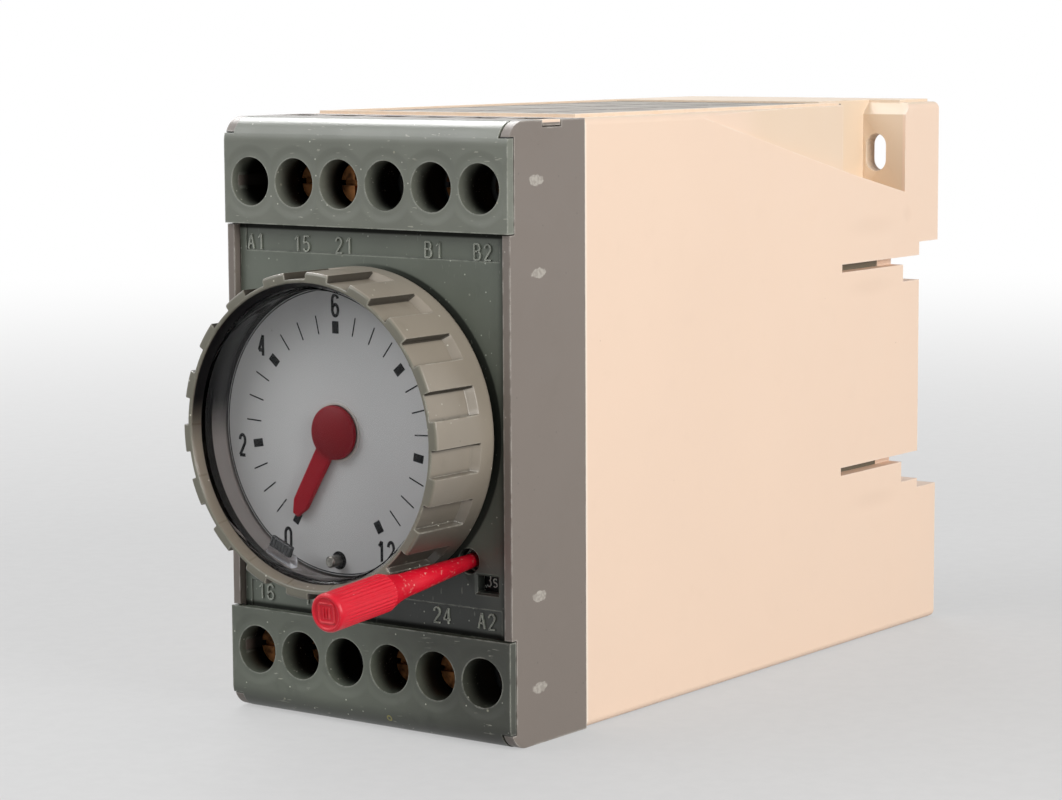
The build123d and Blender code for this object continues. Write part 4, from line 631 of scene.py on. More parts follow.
def withBore(p, colour, height):    # a front painted darker and greener, partly its own tone and partly painted shade; a bore painted dark in steps as painted shade; a foot darkened as painted shade
    x, y, z = p.axes()
    up = p.minus(z, dialZ)
    # the front face: partly the rim's greener tone, partly painted shade
    front = p.before(y, knobFront + 0.04, 0.26)
    colour = p.tint(colour, rim["front"], front, rim["frontStrength"])
    # painted shade: the lower side darkens towards the foot
    footShade = p.times(p.fall(up, -16.0, 1.0, 0.95), p.rest(front))
    colour = p.tint(colour, rim["footShade"], footShade, p.range(x, -16.0, 6.0, 0.2, 1.0))
    around = p.math("DEGREES", p.math("ARCTAN2", up, x))
    turns = p.math("DIVIDE", p.plus(around, rim["pocketFrom"]), rim["pocketPitch"])
    across = p.size(p.minus(p.math("FRACT", turns), rim["pocketEdge"]))
    # painted shadow: a dark line along one wall of each pocket
    edge = p.times(p.fall(across, 0.012, 0.03), p.before(y, rim["pocketEnd"], 0.2))
    edge = p.times(edge, p.rest(front))
    colour = p.tint(colour, rim["line"], edge, rim["pocketShadowStrength"])
    inner = p.times(p.before(p.reach(x, up), flare["outer"], 0.06), p.rest(front))
    # painted shade: the bore is black behind the flare and across its upper left, grey deeper down
    shaded = p.range(p.minus(p.times(up, 0.9), p.times(x, 0.45)), 5.0, 11.5)
    behind = p.past(y, flare["back"] - 0.02, 0.08)
    deep = p.past(y, bore["band"], 0.12)
    wall = p.mix(behind, bore["beige"], bore["shadeBlack"])
    wall = p.mix(deep, wall, bore["grey"])
    wall = p.mix(shaded, wall, bore["shadeBlack"])
    p.dull = p.most(edge, p.times(inner, p.most(behind, shaded)))
    return p.mix(inner, colour, wall), height


knobGrey = moulded("knobPlastic", knobLook, withBore)


# dial, prints and pointer
def withDialShade(p, colour, height):    # painted shade: the plate greys a little toward its foot
    low = p.fall(p.minus(p.axes()[2], dialZ), -13.0, 6.0, 0.6)
    return p.mix(low, colour, srgb(184, 183, 182)), height


def withLitArm(p, colour, height):    # painted light: the arm is a little brighter than the hub
    x, y, z = p.axes()
    onArm = p.range(p.reach(x, p.minus(z, dialZ)), 2.9, 3.8, 0.0, 0.8)
    return p.mix(onArm, colour, srgb(164, 10, 32)), height


dialPaint = moulded("dialPaint", {
    "colour": srgb(208, 207, 205), "cloud": 12, "cloudShade": 0.97, "grime": 0.04,
    "roughness": (0.42, 0.5), "shine": 0.25, "grain": 0.2, "depth": 0.001,
    "flecks": ((2.2, 0.16, 0.16, 0.5, srgb(120, 118, 112)),)}, withDialShade)
pointerRed = moulded("pointerRed", {
    "colour": srgb(126, 6, 22), "cloud": 3, "cloudShade": 0.86, "grime": 0.15, "grimeColour": srgb(96, 8, 20),
    "roughness": (0.40, 0.5), "depth": 0.006, "shine": 0.12,
    "wearAndGlint": 0.3, "wearGlintColour": srgb(186, 66, 76), "wearGlintWidth": 0.3,
    "flecks": ((1.0, 0.11, 0.2, 0.4, srgb(190, 104, 104)),)}, withLitArm)
inkBlack = moulded("printedInk", {
    "colour": srgb(17, 17, 19), "roughness": (0.45, 0.55), "grime": 0.2, "grimeColour": srgb(40, 40, 42),
    "shine": 0.12, "depth": 0.002})
inkWhite = moulded("printedWhite", {"colour": srgb(222, 222, 214), "roughness": (0.4, 0.5), "depth": 0.002})

# plainer plastics
innerWhite = moulded("innerPlastic", {"colour": srgb(196, 190, 180), "roughness": (0.42, 0.55), "grime": 0.1})
slitShade = moulded("slitShade", {"colour": srgb(112, 106, 90), "roughness": (0.45, 0.6), "grime": 0.3})
darkPlastic = moulded("darkPlastic", {
    "colour": srgb(30, 31, 32), "roughness": (0.35, 0.5), "grime": 0.3, "grimeColour": srgb(60, 60, 58),
    "flecks": ((1.2, 0.1, 0.12, 0.5, srgb(120, 120, 115)),)})
discBlack = moulded("discBlack", {
    "colour": srgb(14, 14, 15), "roughness": (0.4, 0.5), "shine": 0.2, "grime": 0.15,
    "grimeColour": srgb(34, 34, 34)})
ruleGrey = moulded("ruleGrey", {
    "colour": srgb(98, 94, 90), "roughness": (0.4, 0.5), "shine": 0.15, "grime": 0.2})
blockPlastic = moulded("blockPlastic", {
    "colour": srgb(58, 60, 60), "roughness": (0.4, 0.55), "grime": 0.3, "grimeColour": srgb(36, 36, 35)})
boardGreen = moulded("boardLaminate", {
    "colour": srgb(46, 96, 62), "roughness": (0.3, 0.42), "cloud": 4, "cloudShade": 0.8, "grime": 0.2})
collarGrey = moulded("collarPlastic", {
    "colour": srgb(206, 200, 192), "roughness": (0.35, 0.45), "depth": 0.004})
labelFoil = moulded("labelFoil", {
    "colour": srgb(150, 142, 132), "shine": 0.15, "cloud": 10, "cloudShade": 0.9, "grime": 0.25,
    "grimeColour": srgb(126, 116, 104), "roughness": (0.32, 0.5), "grain": 0.3, "depth": 0.01,
    "flecks": ((1.6, 0.12, 0.12, 0.6, srgb(226, 222, 214)),)})

# metals: colour, tarnish, roughness and what differs from plain metal
metals = {"screwBrass": ((172, 118, 74), (48, 32, 26), (0.3, 0.48), {"cloud": 1.2, "tarnish": 0.9}),
          "brass": ((196, 156, 92), (134, 92, 48), (0.26, 0.42), {}),
          "copper": ((190, 116, 76), (128, 68, 42), (0.28, 0.42), {"brush": (1, 6, 1)}),
          "steel": ((178, 178, 180), (132, 130, 126), (0.24, 0.4), {"brush": (6, 1, 1)}),
          "pinSteel": ((140, 138, 132), (70, 66, 60), (0.26, 0.42), {"cloud": 0.6}),
          "aluminium": ((200, 200, 202), (164, 164, 166), (0.3, 0.45), {"brush": (1, 1, 8)}),
          "coreIron": ((92, 92, 96), (66, 60, 56), (0.45, 0.6), {"brush": (10, 1, 1)})}
for name, (colour, tarnish, roughness, others) in metals.items():
    metals[name] = metal(name, {"colour": srgb(*colour), "tarnishColour": srgb(*tarnish),
                                "roughness": roughness, **others})


def clear(name, tint, roughness, ior):    # polished clear moulding that lets lamps through
    p = Painter(name)
    scuffs = p.range(p.noise(1.1, 2, stretch=(1, 1, 0.2), seed=4), 0.68, 0.74)
    rough = p.range(scuffs, 0.0, 1.0, roughness, roughness + 0.18)
    colour = p.mix(p.range(p.noise(9, 3, seed=2), 0.3, 0.7), tint, shade(tint, 0.975))
    relief = p.bump(p.noise(7, 1, seed=5), 0.0008)
    p.finish(colour, rough, relief, **{"Transmission Weight": 1.0, "IOR": ior})
    through = p.add("ShaderNodeBsdfTransparent", {0: (0.93, 0.935, 0.94, 1)}).outputs[0]
    path = p.add("ShaderNodeLightPath").outputs
    share = p.most(path["Is Shadow Ray"], path["Is Diffuse Ray"])
    p.plug(p.surface, p.blend(share, p.shader, through))
    return p.material


clearWindow = clear("clearWindow", (0.97, 0.975, 0.98, 1), 0.02, 1.15)
clearIndex = clear("clearIndex", (0.80, 0.80, 0.83, 1), 0.3, 1.14)
print("materials made")

finishes = {"case_plastic": ivory, "frame_plastic": frameGrey, "cover_plastic": coverTopGrey,
            "block_plastic": blockPlastic, "panel_plastic": panelGrey, "knob_plastic": knobGrey,
            "clear_plastic": clearWindow, "dial_face": dialPaint, "inner_plastic": innerWhite,
            "dark_plastic": darkPlastic, "pointer_paint": pointerRed, "brass": metals["brass"],
            "copper": metals["copper"], "steel": metals["steel"], "aluminium": metals["aluminium"],
            "core_iron": metals["coreIron"], "board": boardGreen, "label": labelFoil}
ownFinishes = {"pointer_bush": collarGrey, "stop_pin": metals["pinSteel"], "range_disc": discBlack}
for name, node in nodes.items():
    finish = finishes.get(slotOf(name), darkPlastic)
    if name.startswith("terminal_screws"):
        finish = metals["screwBrass"]
    node.data.materials.clear()
    node.data.materials.append(ownFinishes.get(name, finish))


def flared(bm):    # the rim's bore opens towards the front
    cut = flare["back"] * mm
    whole = bm.verts[:] + bm.edges[:] + bm.faces[:]
    bmesh.ops.bisect_plane(bm, geom=whole, plane_co=(0, cut, 0), plane_no=(0, 1, 0))
    for v in bm.verts:
        out = Vector((v.co.x, v.co.z - dialCentre.z))
        if v.co.y < cut - 0.1 * mm and out.length < flare["reach"] * mm:
            share = (cut - v.co.y) / (cut - knobLow.y)
            out *= (flare["inner"] + (flare["outer"] - flare["inner"]) * share) * mm / out.length
            v.co.x, v.co.z = out.x, out.y + dialCentre.z


# moulded shells, eased copies of the frame's own solids
caseShells = {"housing": ("caseShell", ivory, 0.3), "front_frame": ("frontHood", frameGrey, 0.22),
              "terminal_cover_top": ("terminalCoverTop", coverTopGrey, 0.16),
              "terminal_cover_bottom": ("terminalCoverBottom", coverBottomGrey, 0.16),
              "front_panel": ("frontPanel", panelGrey, 0.12), "knob_ring": ("settingKnob", knobGrey, 0.1)}
for node, (name, material, edge) in caseShells.items():
    shell = softened(node, name, material, edge, flared if node == "knob_ring" else None)
    print(name, len(shell.data.polygons), "faces")
print("shells eased")


# strokes: numbers and marks drawn from thin round strokes, each glyph in a unit square
def arc(cx, cy, rx, ry, start, end, steps=14):
    return [(cx + rx * math.cos(math.radians(start + (end - start) * i / steps)),
             cy + ry * math.sin(math.radians(start + (end - start) * i / steps))) for i in range(steps + 1)]


glyphs = {
    "0": [arc(0.5, 0.74, 0.5, 0.26, 0, 180) + arc(0.5, 0.26, 0.5, 0.26, 180, 360) + [(1, 0.74)]],
    "1": [[(0.66, 0), (0.66, 1)], [(0.66, 1), (0.2, 0.76)]],
    "2": [arc(0.5, 0.72, 0.48, 0.28, 172, -28) + [(0.04, 0.0)], [(0.0, 0.0), (1.0, 0.0)]],
    "3": [arc(0.46, 0.75, 0.44, 0.25, 150, -78) + arc(0.46, 0.27, 0.5, 0.27, 80, -150)],
    "4": [[(0.74, 0), (0.74, 1)], [(0.74, 1), (0.0, 0.27)], [(0.0, 0.27), (1.0, 0.27)]],
    "5": [[(0.92, 1), (0.14, 1)], [(0.14, 1), (0.06, 0.54)],
          [(0.06, 0.54)] + arc(0.46, 0.31, 0.5, 0.31, 122, -152)],
    "6": [arc(0.5, 0.74, 0.5, 0.26, 18, 180) + arc(0.5, 0.27, 0.5, 0.27, 180, 540, 26)],
    "8": [arc(0.5, 0.76, 0.43, 0.24, -90, 270, 24), arc(0.5, 0.27, 0.5, 0.27, -90, 270, 24)],
    "A": [[(0, 0), (0.5, 1)], [(0.5, 1), (1, 0)], [(0.18, 0.34), (0.82, 0.34)]],
    "B": [[(0, 0), (0, 1)], [(0, 1), (0.5, 1)] + arc(0.5, 0.77, 0.4, 0.23, 90, -90) + [(0, 0.54)],
          arc(0.55, 0.27, 0.45, 0.27, 90, -90) + [(0.04, 0)]],
    "s": [arc(0.5, 0.53, 0.42, 0.17, 30, 250, 10) + arc(0.5, 0.19, 0.44, 0.19, 80, -150, 10)],
    "m": [[(0, 0), (0, 0.7)], arc(0.25, 0.5, 0.25, 0.2, 180, 0, 8) + [(0.5, 0)],
          arc(0.75, 0.5, 0.25, 0.2, 180, 0, 8) + [(1, 0)]],
    "h": [[(0, 0), (0, 1)], arc(0.5, 0.42, 0.5, 0.26, 180, 0, 10) + [(1, 0)]],
}


def glyphStrokes(text, centre, style, turn=0.0):    # lines in mm around a centre
    width, height, stroke = style["width"], style["height"], style["stroke"]
    advance = width + style["gap"]
    start = -(len(text) * advance - style["gap"]) / 2
    c, s = math.cos(math.radians(turn)), math.sin(math.radians(turn))
    lines = []
    for i, letter in enumerate(text):
        for line in glyphs[letter]:
            placed = []
            for gx, gy in line:
                x = start + i * advance + stroke / 2 + gx * (width - stroke)
                z = -height / 2 + stroke / 2 + gy * (height - stroke)
                placed.append((centre[0] + x * c + z * s, centre[1] - x * s + z * c))
            lines.append(placed)
    return lines


def strokePiece(name, lines, stroke, front, rise, sides):    # lines stand proud of y = front by rise, in mm
    curve = bpy.data.curves.new(name, "CURVE")
    curve.dimensions = "3D"
    curve.bevel_depth = stroke / 2 * mm
    curve.bevel_resolution = sides
    curve.use_fill_caps = True
    for line in lines:
        spline = curve.splines.new("POLY")
        spline.points.add(len(line) - 1)
        for point, (x, z) in zip(spline.points, line):
            point.co = (x * mm, 0, z * mm, 1)
    piece = bake(newObject(name, curve))
    for v in piece.data.vertices:      # flat top, steep sides
        v.co.y = max(-1.0, min(1.0, 2.6 * v.co.y / (stroke / 2 * mm))) * rise * mm + front * mm
    return smooth(piece, 40)


# dial: numbers and ticks stand a hair proud, as printed ink does
dial = {"sweep": 300, "first": -150, "step": 12.5,
        "perNumber": 4, "numbers": ("0", "2", "4", "6", "8", "10", "12"), "numberRadius": 15.35,
        "wideShift": 0.45, "lastTurn": 2, "majorWidth": 1.0, "majorLength": 1.5, "majorRadius": 12.7,
        "tickWidth": 0.17, "tickIn": 12.0, "tickOut": 14.3, "rise": 0.022, "sunk": 0.02,
        "edgeIn": 17.2, "edgeOut": 17.34, "pinIn": 0.4, "pinOut": 1.12, "pinShift": 0.12}
dialFigures = {"width": 1.3, "height": 2.95, "gap": 0.25, "stroke": 0.42}
printFront = dialFront - dial["rise"]
lines = []
blocks = []
for mark in range(int(dial["sweep"] / dial["step"]) + 1):
    turn = dial["first"] + mark * dial["step"]
    half, inner, outer = dial["tickWidth"] / 2, dial["tickIn"], dial["tickOut"]
    if mark % dial["perNumber"] == 0:
        text = dial["numbers"][mark // dial["perNumber"]]
        reach = dial["numberRadius"] + (dial["wideShift"] if len(text) == 2 or text == "0" else 0)
        angle = math.radians(turn + (dial["lastTurn"] if text == "12" else 0))
        spot = (dialX + reach * math.sin(angle), dialZ + reach * math.cos(angle))
        lines += glyphStrokes(text, spot, dialFigures)
        half, reach = dial["majorWidth"] / 2, dial["majorLength"] / 2
        inner, outer = dial["majorRadius"] - reach, dial["majorRadius"] + reach
    tick = bar("tick", (dialX - half, printFront, dialZ + inner),
               (dialX + half, dialFront + dial["sunk"], dialZ + outer), 0.006)
    blocks.append(turnedAbout(tick, dialCentre, turn))
numbers = strokePiece("numbers", lines, dialFigures["stroke"], dialFront, dial["rise"], 4)


def flatRing(name, inner, outer, cx, cz, segments):    # a thin printed ring on the dial
    ring = lathe(name, [(inner, dialFront), (inner, printFront), (outer, printFront), (outer, dialFront),
                        (inner, dialFront)], segments)
    ring.data.transform(Matrix.Translation((cx * mm, 0, cz * mm)))
    return ring


pinLow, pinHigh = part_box("stop_pin")
pinX, pinZ = (pinLow.x + pinHigh.x) / 2 / mm + dial["pinShift"], (pinLow.z + pinHigh.z) / 2 / mm
blocks.append(flatRing("edgeLine", dial["edgeIn"], dial["edgeOut"], dialX, dialZ, 160))
# painted shade: a dark ring on the dial stands for the shaded hole round the stop pin
blocks.append(flatRing("pinHoleShade", dial["pinIn"], dial["pinOut"], pinX, pinZ, 48))
dialMarks = smooth(joined("dialMarks", [numbers] + blocks), 50)
dressAs(dialMarks, inkBlack, "dial_plate")
print("dial marks", len(dialMarks.data.polygons), "faces")


# pointer: a domed hub and a flat arm with a chisel tip, one red moulding
needle = {"radius": 3.3, "back": -57.45, "wall": 0.62, "dome": 0.62, "domeShape": 2.1, "domeSteps": 12,
          "domeShare": 0.955, "armHalf": 1.3, "waistHalf": 1.14, "waist": 10.5, "tip": 12.1, "tipHalf": 0.42,
          "armRise": 0.62, "armRound": 0.22, "turn": -150}
radius, back = needle["radius"], needle["back"]
wallFront = back - needle["wall"]
hubProfile = [(0, wallFront - needle["dome"])]
for i in range(1, needle["domeSteps"] + 1):
    t = i / needle["domeSteps"]
    rise = needle["dome"] * (1 - t ** needle["domeShape"])
    hubProfile.append((radius * needle["domeShare"] * t, wallFront - rise))
hubProfile += [(radius * 0.985, wallFront + 0.08), (radius, wallFront + 0.22), (radius, back), (0, back)]
hub = ontoDialAxis(lathe("hub", hubProfile, 96))
flank = [(needle["armHalf"], 0), (needle["waistHalf"], needle["waist"]), (needle["tipHalf"], needle["tip"])]
outline = [(-x, z) for x, z in flank] + flank[::-1]
levels = (back - needle["armRise"], back)
verts = [(x * mm, y * mm, dialCentre.z + z * mm) for y in levels for x, z in outline]
count = len(outline)
faces = [tuple(range(count)), tuple(range(2 * count - 1, count - 1, -1))]
faces += [(i, i + count, (i + 1) % count + count, (i + 1) % count) for i in range(count)]
arm = rounded(meshFrom("arm", verts, faces), needle["armRound"], 3,
              lambda edge: all(v.co.y < (back - 0.3) * mm for v in edge.verts))
union = hub.modifiers.new("union", "BOOLEAN")
union.operation = "UNION"
union.solver = "EXACT"
union.object = arm
bake(hub)
bpy.data.objects.remove(arm)
hub.name = "redPointer"
smooth(turnedAbout(hub, dialCentre, needle["turn"]), 28)
standFor(hub, pointerRed, "pointer")
print("pointer", len(hub.data.polygons), "faces")


# pale collar under the hub, its flange flush with the dial
collar = {"bore": 0.8, "radius": 3.42, "face": -57.3, "flange": 3.96, "level": -57.115, "back": -56.9}
radius, face, flange, level, back = (collar[k] for k in ("radius", "face", "flange", "level", "back"))
ring = lathe("pointerCollar", [(collar["bore"], face), (radius - 0.06, face), (radius, face + 0.06),
                               (radius, level), (flange - 0.02, level), (flange, level + 0.012),
                               (flange - 0.07, back), (collar["bore"], back), (collar["bore"], face)], 128)
dress(smooth(ontoDialAxis(ring), 30), dialPaint, "case")


# key: fluted handle with a plain end band, concave shoulder, slim shank; it droops a little in its socket
key = {"droop": 4.5, "inward": 0.05, "seat": 0.8, "radius": 2.3, "handle": 10.3, "shoulder": 5.7,
       "neck": 1.4, "shank": 10.9, "mouth": 0.88, "tip": 0.8, "insert": 5.0, "endRound": 0.4,
       "band": 0.9, "bandSlope": 0.12, "flutes": 30, "fluteDepth": 0.085, "face": 0.16,
       "badge": 1.12, "badgeLine": 0.16, "badgeRise": 0.11, "badgeGap": 0.42, "badgeHalf": 0.6}
radius, handle, neck, face = key["radius"], key["handle"], key["neck"], key["face"]
bandEnd = key["band"] + key["bandSlope"]
flareEnd = handle + key["shoulder"]
mouthAt = flareEnd + key["shank"]
tipAt = mouthAt + key["insert"]
keyProfile = [(0, face), (radius - 0.62, face), (radius - 0.52, face - 0.05), (radius - 0.46, 0.03),
              (radius - 0.38, 0.0), (radius - 0.2, 0.05), (radius - 0.06, 0.2), (radius, key["endRound"]),
              (radius, key["band"] - 0.1), (radius, bandEnd)]
fluteFrom = len(keyProfile)
keyProfile += [(radius, bandEnd + (handle - 0.3 - bandEnd) * i / 14) for i in range(1, 15)]
fluteTo = len(keyProfile) - 1
keyProfile += [(radius - 0.01, handle - 0.12), (radius - 0.05, handle)]
for i in range(1, 13):
    t = i / 12
    keyProfile.append((neck + (radius - 0.05 - neck) * (1 - t) ** 2.2, handle + key["shoulder"] * t))
for i in range(1, 9):
    t = i / 8
    keyProfile.append((neck + (key["mouth"] - neck) * t, flareEnd + key["shank"] * t))
keyProfile += [(key["tip"], tipAt - 0.15), (key["tip"] - 0.15, tipAt), (0, tipAt)]


def flute(turn, step):
    if not fluteFrom <= step <= fluteTo:
        return 0
    return -key["fluteDepth"] * (0.5 - 0.5 * math.cos(turn * key["flutes"])) ** 1.4


keyBody = lathe("keyBody", keyProfile, key["flutes"] * 10, flute)
corner = key["badge"] * 0.32
side = key["badge"] - corner
square = []
for cx, cz, start in ((1, 1, 0), (-1, 1, 90), (-1, -1, 180), (1, -1, 270)):
    square += arc(cx * side, cz * side, corner, corner, start, start + 90, 5)
square.append(square[0])
gap, half = key["badgeGap"], key["badgeHalf"]
badgeLines = [square] + [[(x, -half), (x, half)] for x in (-gap, 0, gap)]
badge = strokePiece("badge", badgeLines, key["badgeLine"], face, key["badgeRise"], 3)
redKey = joined("rangeKey", [keyBody, badge])
socket = Matrix.Translation((selectorAxis.x, panelLow.y + key["seat"] * mm, selectorAxis.z))
droop = Matrix.Rotation(math.radians(key["droop"]), 4, "X")
outside = mouthAt + key["seat"] - key["inward"]
redKey.data.transform(socket @ droop @ Matrix.Translation((0, -outside * mm, 0)))
smooth(redKey, 30)


def withKeyWearAndShade(p, colour, height):    # pale rubbed spots, painted shade darkening the shank towards the panel, and a trace of dirt along the shank
    x, y, z = p.axes()
    rubbed = p.range(p.noise(0.55, 5, seed=21, roughness=0.65), 0.585, 0.63)
    rubbed = p.times(rubbed, p.range(y, -66.5, -64.0))
    colour = p.tint(colour, srgb(240, 170, 160), rubbed, 0.7)
    # painted shade: the shank darkens towards the panel
    colour = p.mix(p.range(y, -61.0, -52.0, 0.0, 0.75), colour, srgb(150, 6, 26))
    dirt = p.range(p.noise(0.4, 3, seed=22), 0.67, 0.72)
    return p.tint(colour, srgb(110, 40, 30), dirt, 0.35), height


keyRed = moulded("keyRed", {
    "colour": srgb(216, 14, 42), "cloud": 4, "cloudShade": 0.88,
    "grime": 0.14, "grimeColour": srgb(150, 10, 30), "roughness": (0.28, 0.38), "depth": 0.006, "shine": 0.36,
    "wearAndGlint": 0.4, "wearGlintColour": srgb(246, 130, 132), "wearGlintWidth": 0.2,
    "flecks": ((1.1, 0.11, 0.18, 0.6, srgb(250, 196, 190)),)}, withKeyWearAndShade)
standFor(redKey, keyRed, "range_key")
print("key", len(redKey.data.polygons), "faces")


# clear window cup in the knob's rim
window = {"face": -61.6, "thickness": 0.38, "wall": 0.22, "round": 0.05}
front, floor, back = window["face"], window["face"] + window["thickness"], windowHigh.y / mm
outer = (windowHigh.x - windowLow.x) / 2 / mm
inner, e = outer - window["wall"], window["round"]
cup = lathe("knobWindow", [(0, front), (outer - e, front), (outer - e * 0.3, front + e * 0.3),
                           (outer, front + e), (outer, back - e), (outer - e, back), (inner + e, back),
                           (inner, back - e), (inner, floor + 0.2), (inner - 0.06, floor + 0.06),
                           (inner - 0.2, floor), (0, floor)], 192)
standFor(smooth(ontoDialAxis(cup), 25), clearWindow, "knob_window")


# clear index wedge behind the window, with a dark ribbed band at its inner end
index = {"turn": 22.5, "inner": 14.4, "band": 15.8, "outer": 17.1, "half": 1.7, "footHalf": 2.3, "round": 0.2,
         "front": -61.15, "middle": -60.6, "back": -59.4, "bandBack": -60.55, "bandRound": 0.1,
         "ribs": 7, "ribShare": 0.32, "ribInset": 0.1, "ribRise": 0.3, "ribRound": 0.06, "proud": 0.07}
corners = []
for half, reach, face in ((index["half"], index["band"], index["front"]),
                          (index["footHalf"], index["outer"], index["middle"])):
    for x, y in ((-half, face), (half, face), (half, index["back"]), (-half, index["back"])):
        corners.append((x * mm, y * mm, dialCentre.z - reach * mm))
sides = [(0, 1, 2, 3), (4, 5, 6, 7), (0, 1, 5, 4), (1, 2, 6, 5), (2, 3, 7, 6), (3, 0, 4, 7)]
wedge = rounded(meshFrom("settingIndex", corners, sides), index["round"], 3)
standFor(smooth(turnedAbout(wedge, dialCentre, index["turn"]), 40), clearIndex, "setting_index")
low, high = dialZ - index["band"], dialZ - index["inner"]
ribs = [bar("rib", (-index["half"], index["front"] + index["proud"], low),
            (index["half"], index["bandBack"], high), index["bandRound"])]
step = 2 * index["half"] / index["ribs"]
half = step * index["ribShare"]
low, high = low + index["ribInset"], high - index["ribInset"]
for i in range(index["ribs"]):
    x = -index["half"] + step * (i + 0.5)
    ribs.append(bar("rib", (x - half, index["front"], low),
                    (x + half, index["front"] + index["ribRise"], high), index["ribRound"]))
ribBars = turnedAbout(joined("indexRibs", ribs), dialCentre, index["turn"])
dressAs(ribBars, darkPlastic, "setting_index")
print("index done")


# latch springs, a smoothed copy in the springs' place
coils = smooth(newObject("railSprings", nodes["latch_springs"].data.copy()), 40)
standFor(coils, nodes["latch_springs"].data.materials[0], "latch_springs")
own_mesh(coils)


# shade-coloured webs close the slits from inside and dark strips fill the seams beside the ears, both painted
# shade
shadeWebs = {"x": (19.6, 19.95), "y": (25.2, 41.8), "levels": ((52.15, 53.35), (23.95, 25.15))}
earShade = {"x": (20.7, 21.9), "y": (-51.6, -49.0), "levels": ((1.86, 1.99), (73.01, 73.14))}
for name, spots, material, slot in (("slitWebs", shadeWebs, slitShade, "inner_plastic"),
                                    ("earSeams", earShade, darkPlastic, "dark_plastic")):
    strips = []
    for side in (-1, 1):
        near, far = sorted(side * x for x in spots["x"])
        for low, high in spots["levels"]:
            strips.append(bar("strip", (near, spots["y"][0], low), (far, spots["y"][1], high), 0.03))
    dress(joined(name, strips), material, "case")


# raised marks on the panel, and the scale on the range disc
panelMarks = {"rows": {59.5: ((-18.2, "A1"), (-10.7, "15"), (-4.0, "21"), (9.9, "B1"), (17.25, "B2")),
                       15.2: ((-17.4, "16"), (-9.9, "18"), (10.7, "24"), (17.5, "A2"))},
              "width": 1.15, "height": 2.1, "gap": 0.38, "stroke": 0.24, "rise": 0.22, "ground": 0.15}
lines = []
for level, row in panelMarks["rows"].items():
    for x, text in row:
        lines += glyphStrokes(text, (x, level), panelMarks)
ground = panelFront + panelMarks["ground"]
marks = strokePiece("panelMarks", lines, panelMarks["stroke"], ground, panelMarks["rise"], 2)
dress(marks, markGrey, "case")
rangeScale = {"reach": (2.05, -2.5), "texts": ("3s", "6s", "1m", "3m", "6m", "1h"), "step": 30,
              "width": 0.74, "height": 1.62, "gap": 0.17, "stroke": 0.16, "rise": 0.02}
lines = []
dx, dz = rangeScale["reach"]
for i, text in enumerate(rangeScale["texts"]):
    turn = i * rangeScale["step"]
    c, s = math.cos(math.radians(turn)), math.sin(math.radians(turn))
    centre = (selectorAxis.x / mm + dx * c + dz * s, selectorAxis.z / mm - dx * s + dz * c)
    lines += glyphStrokes(text, centre, rangeScale, turn)
scaleMarks = strokePiece("rangeScale", lines, rangeScale["stroke"], discLow.y / mm, rangeScale["rise"], 2)
dressAs(scaleMarks, inkWhite, "range_disc")
print("marks done")


# ruled lines on the roof label
rules = {"inset": 1.6, "line": 0.16, "rise": 0.02, "sunk": 0.03, "round": 0.008,
         "rows": 5, "columns": (0.36, 0.68)}
labelLow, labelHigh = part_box("roof_label")
left, right = labelLow.x / mm + rules["inset"], labelHigh.x / mm - rules["inset"]
front, back = labelLow.y / mm + rules["inset"], labelHigh.y / mm - rules["inset"]
low, high = labelHigh.z / mm - rules["sunk"], labelHigh.z / mm + rules["rise"]
half = rules["line"] / 2
strips = []
for i in range(rules["rows"] + 1):
    y = front + (back - front) * i / rules["rows"]
    strips.append(bar("rule", (left, y - half, low), (right, y + half, high), rules["round"]))
for share in (0, *rules["columns"], 1):
    x = left + (right - left) * share
    strips.append(bar("rule", (x - half, front, low), (x + half, back, high), rules["round"]))
dress(joined("labelRules", strips), ruleGrey, "case")
print("label ruled")


# floor: pale paper that turns white towards the horizon
paper = {"radius": 4.0, "sides": 96, "gap": 0.05, "light": srgb(166, 166, 166), "dark": srgb(160, 160, 160),
         "roughness": 0.75, "whiteFrom": 60.0, "whiteAt": 700.0, "whiteNear": 0.45}
pureWhite = (1, 1, 1, 1)


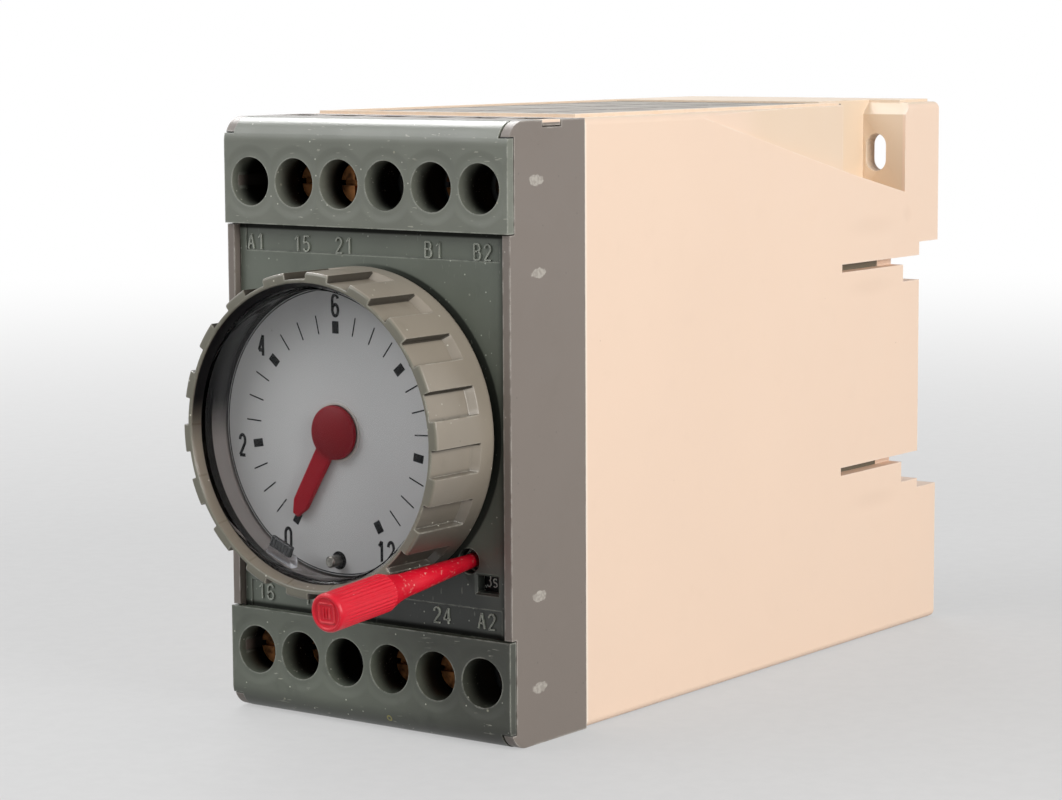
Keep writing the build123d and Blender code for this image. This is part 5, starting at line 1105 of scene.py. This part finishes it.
def stageFloor():
    sides, radius = paper["sides"], paper["radius"]
    turns = [2 * math.pi * i / sides for i in range(sides)]
    verts = [(0, 0, 0)] + [(radius * math.cos(turn), radius * math.sin(turn), 0) for turn in turns]
    floor = meshFrom("floor", verts, [(0, i + 1, (i + 1) % sides + 1) for i in range(sides)])
    floor.location.z = cadBox[0].z - paper["gap"] * mm
    p = Painter("paleFloor")
    colour = p.mix(p.range(p.noise(2.0, 4, seed=1), 0.3, 0.7), paper["dark"], paper["light"])
    p.finish(colour, paper["roughness"], p.bump(p.noise(0.8, 3, seed=2), 0.006))
    away = p.vector("LENGTH", {0: p.place}, "Value")
    far = p.range(away, paper["whiteFrom"], paper["whiteAt"], paper["whiteNear"], 1.0)
    white = p.glow("ShaderNodeEmission", pureWhite, 1.0)
    p.plug(p.surface, p.blend(p.times(far, p.backdropRays()), p.shader, white))
    floor.data.materials.append(p.material)


stageFloor()

# world: white to the eye, a dim cool fill to the surfaces
scene.world = bpy.data.worlds.new("studio")
studio = Wiring(scene.world)
ambient = studio.glow("ShaderNodeBackground", (0.96, 0.98, 1.0, 1), 0.27)
white = studio.glow("ShaderNodeBackground", pureWhite, 1.0)
studio.add("ShaderNodeOutputWorld", {0: studio.blend(studio.backdropRays(), ambient, white)})

lampAim = Vector((0, -0.01, 0.037))
lamps = {"key": {"from": (0.92, -0.20, 0.38), "size": 0.55, "power": 8.1, "colour": (1.0, 0.985, 0.96)},
         "main": {"from": (-0.55, -0.62, 0.70), "size": 0.75, "power": 6.2, "colour": (0.98, 0.99, 1.0)},
         "strip": {"from": (-0.51, 0.314, 0.704), "size": 0.5, "power": 8.2, "colour": (1.0, 1.0, 1.0)}}
for name, lamp in lamps.items():
    light = bpy.data.lights.new(name, "AREA")
    light.energy = lamp["power"]
    light.size = lamp["size"]
    light.color = lamp["colour"]
    holder = newObject(name, light)
    holder.visible_diffuse = name != "strip"    # the strip only draws highlights
    holder.location = lamp["from"]
    aim = lampAim - Vector(lamp["from"])
    holder.rotation_euler = aim.to_track_quat("-Z", "Y").to_euler()

view = {"lens": 103.833, "from": (0.23508, -0.338896, 0.085762), "turn": (83.0762, 0.29389, 36.14295)}
camera = bpy.data.cameras.new("camera")
camera.lens = view["lens"]
camera.sensor_width = 36
camera.clip_start = 0.01
scene.camera = newObject("camera", camera)
scene.camera.location = view["from"]
scene.camera.rotation_euler = [math.radians(a) for a in view["turn"]]
scene.view_settings.view_transform = "Standard"
print("stage ready")
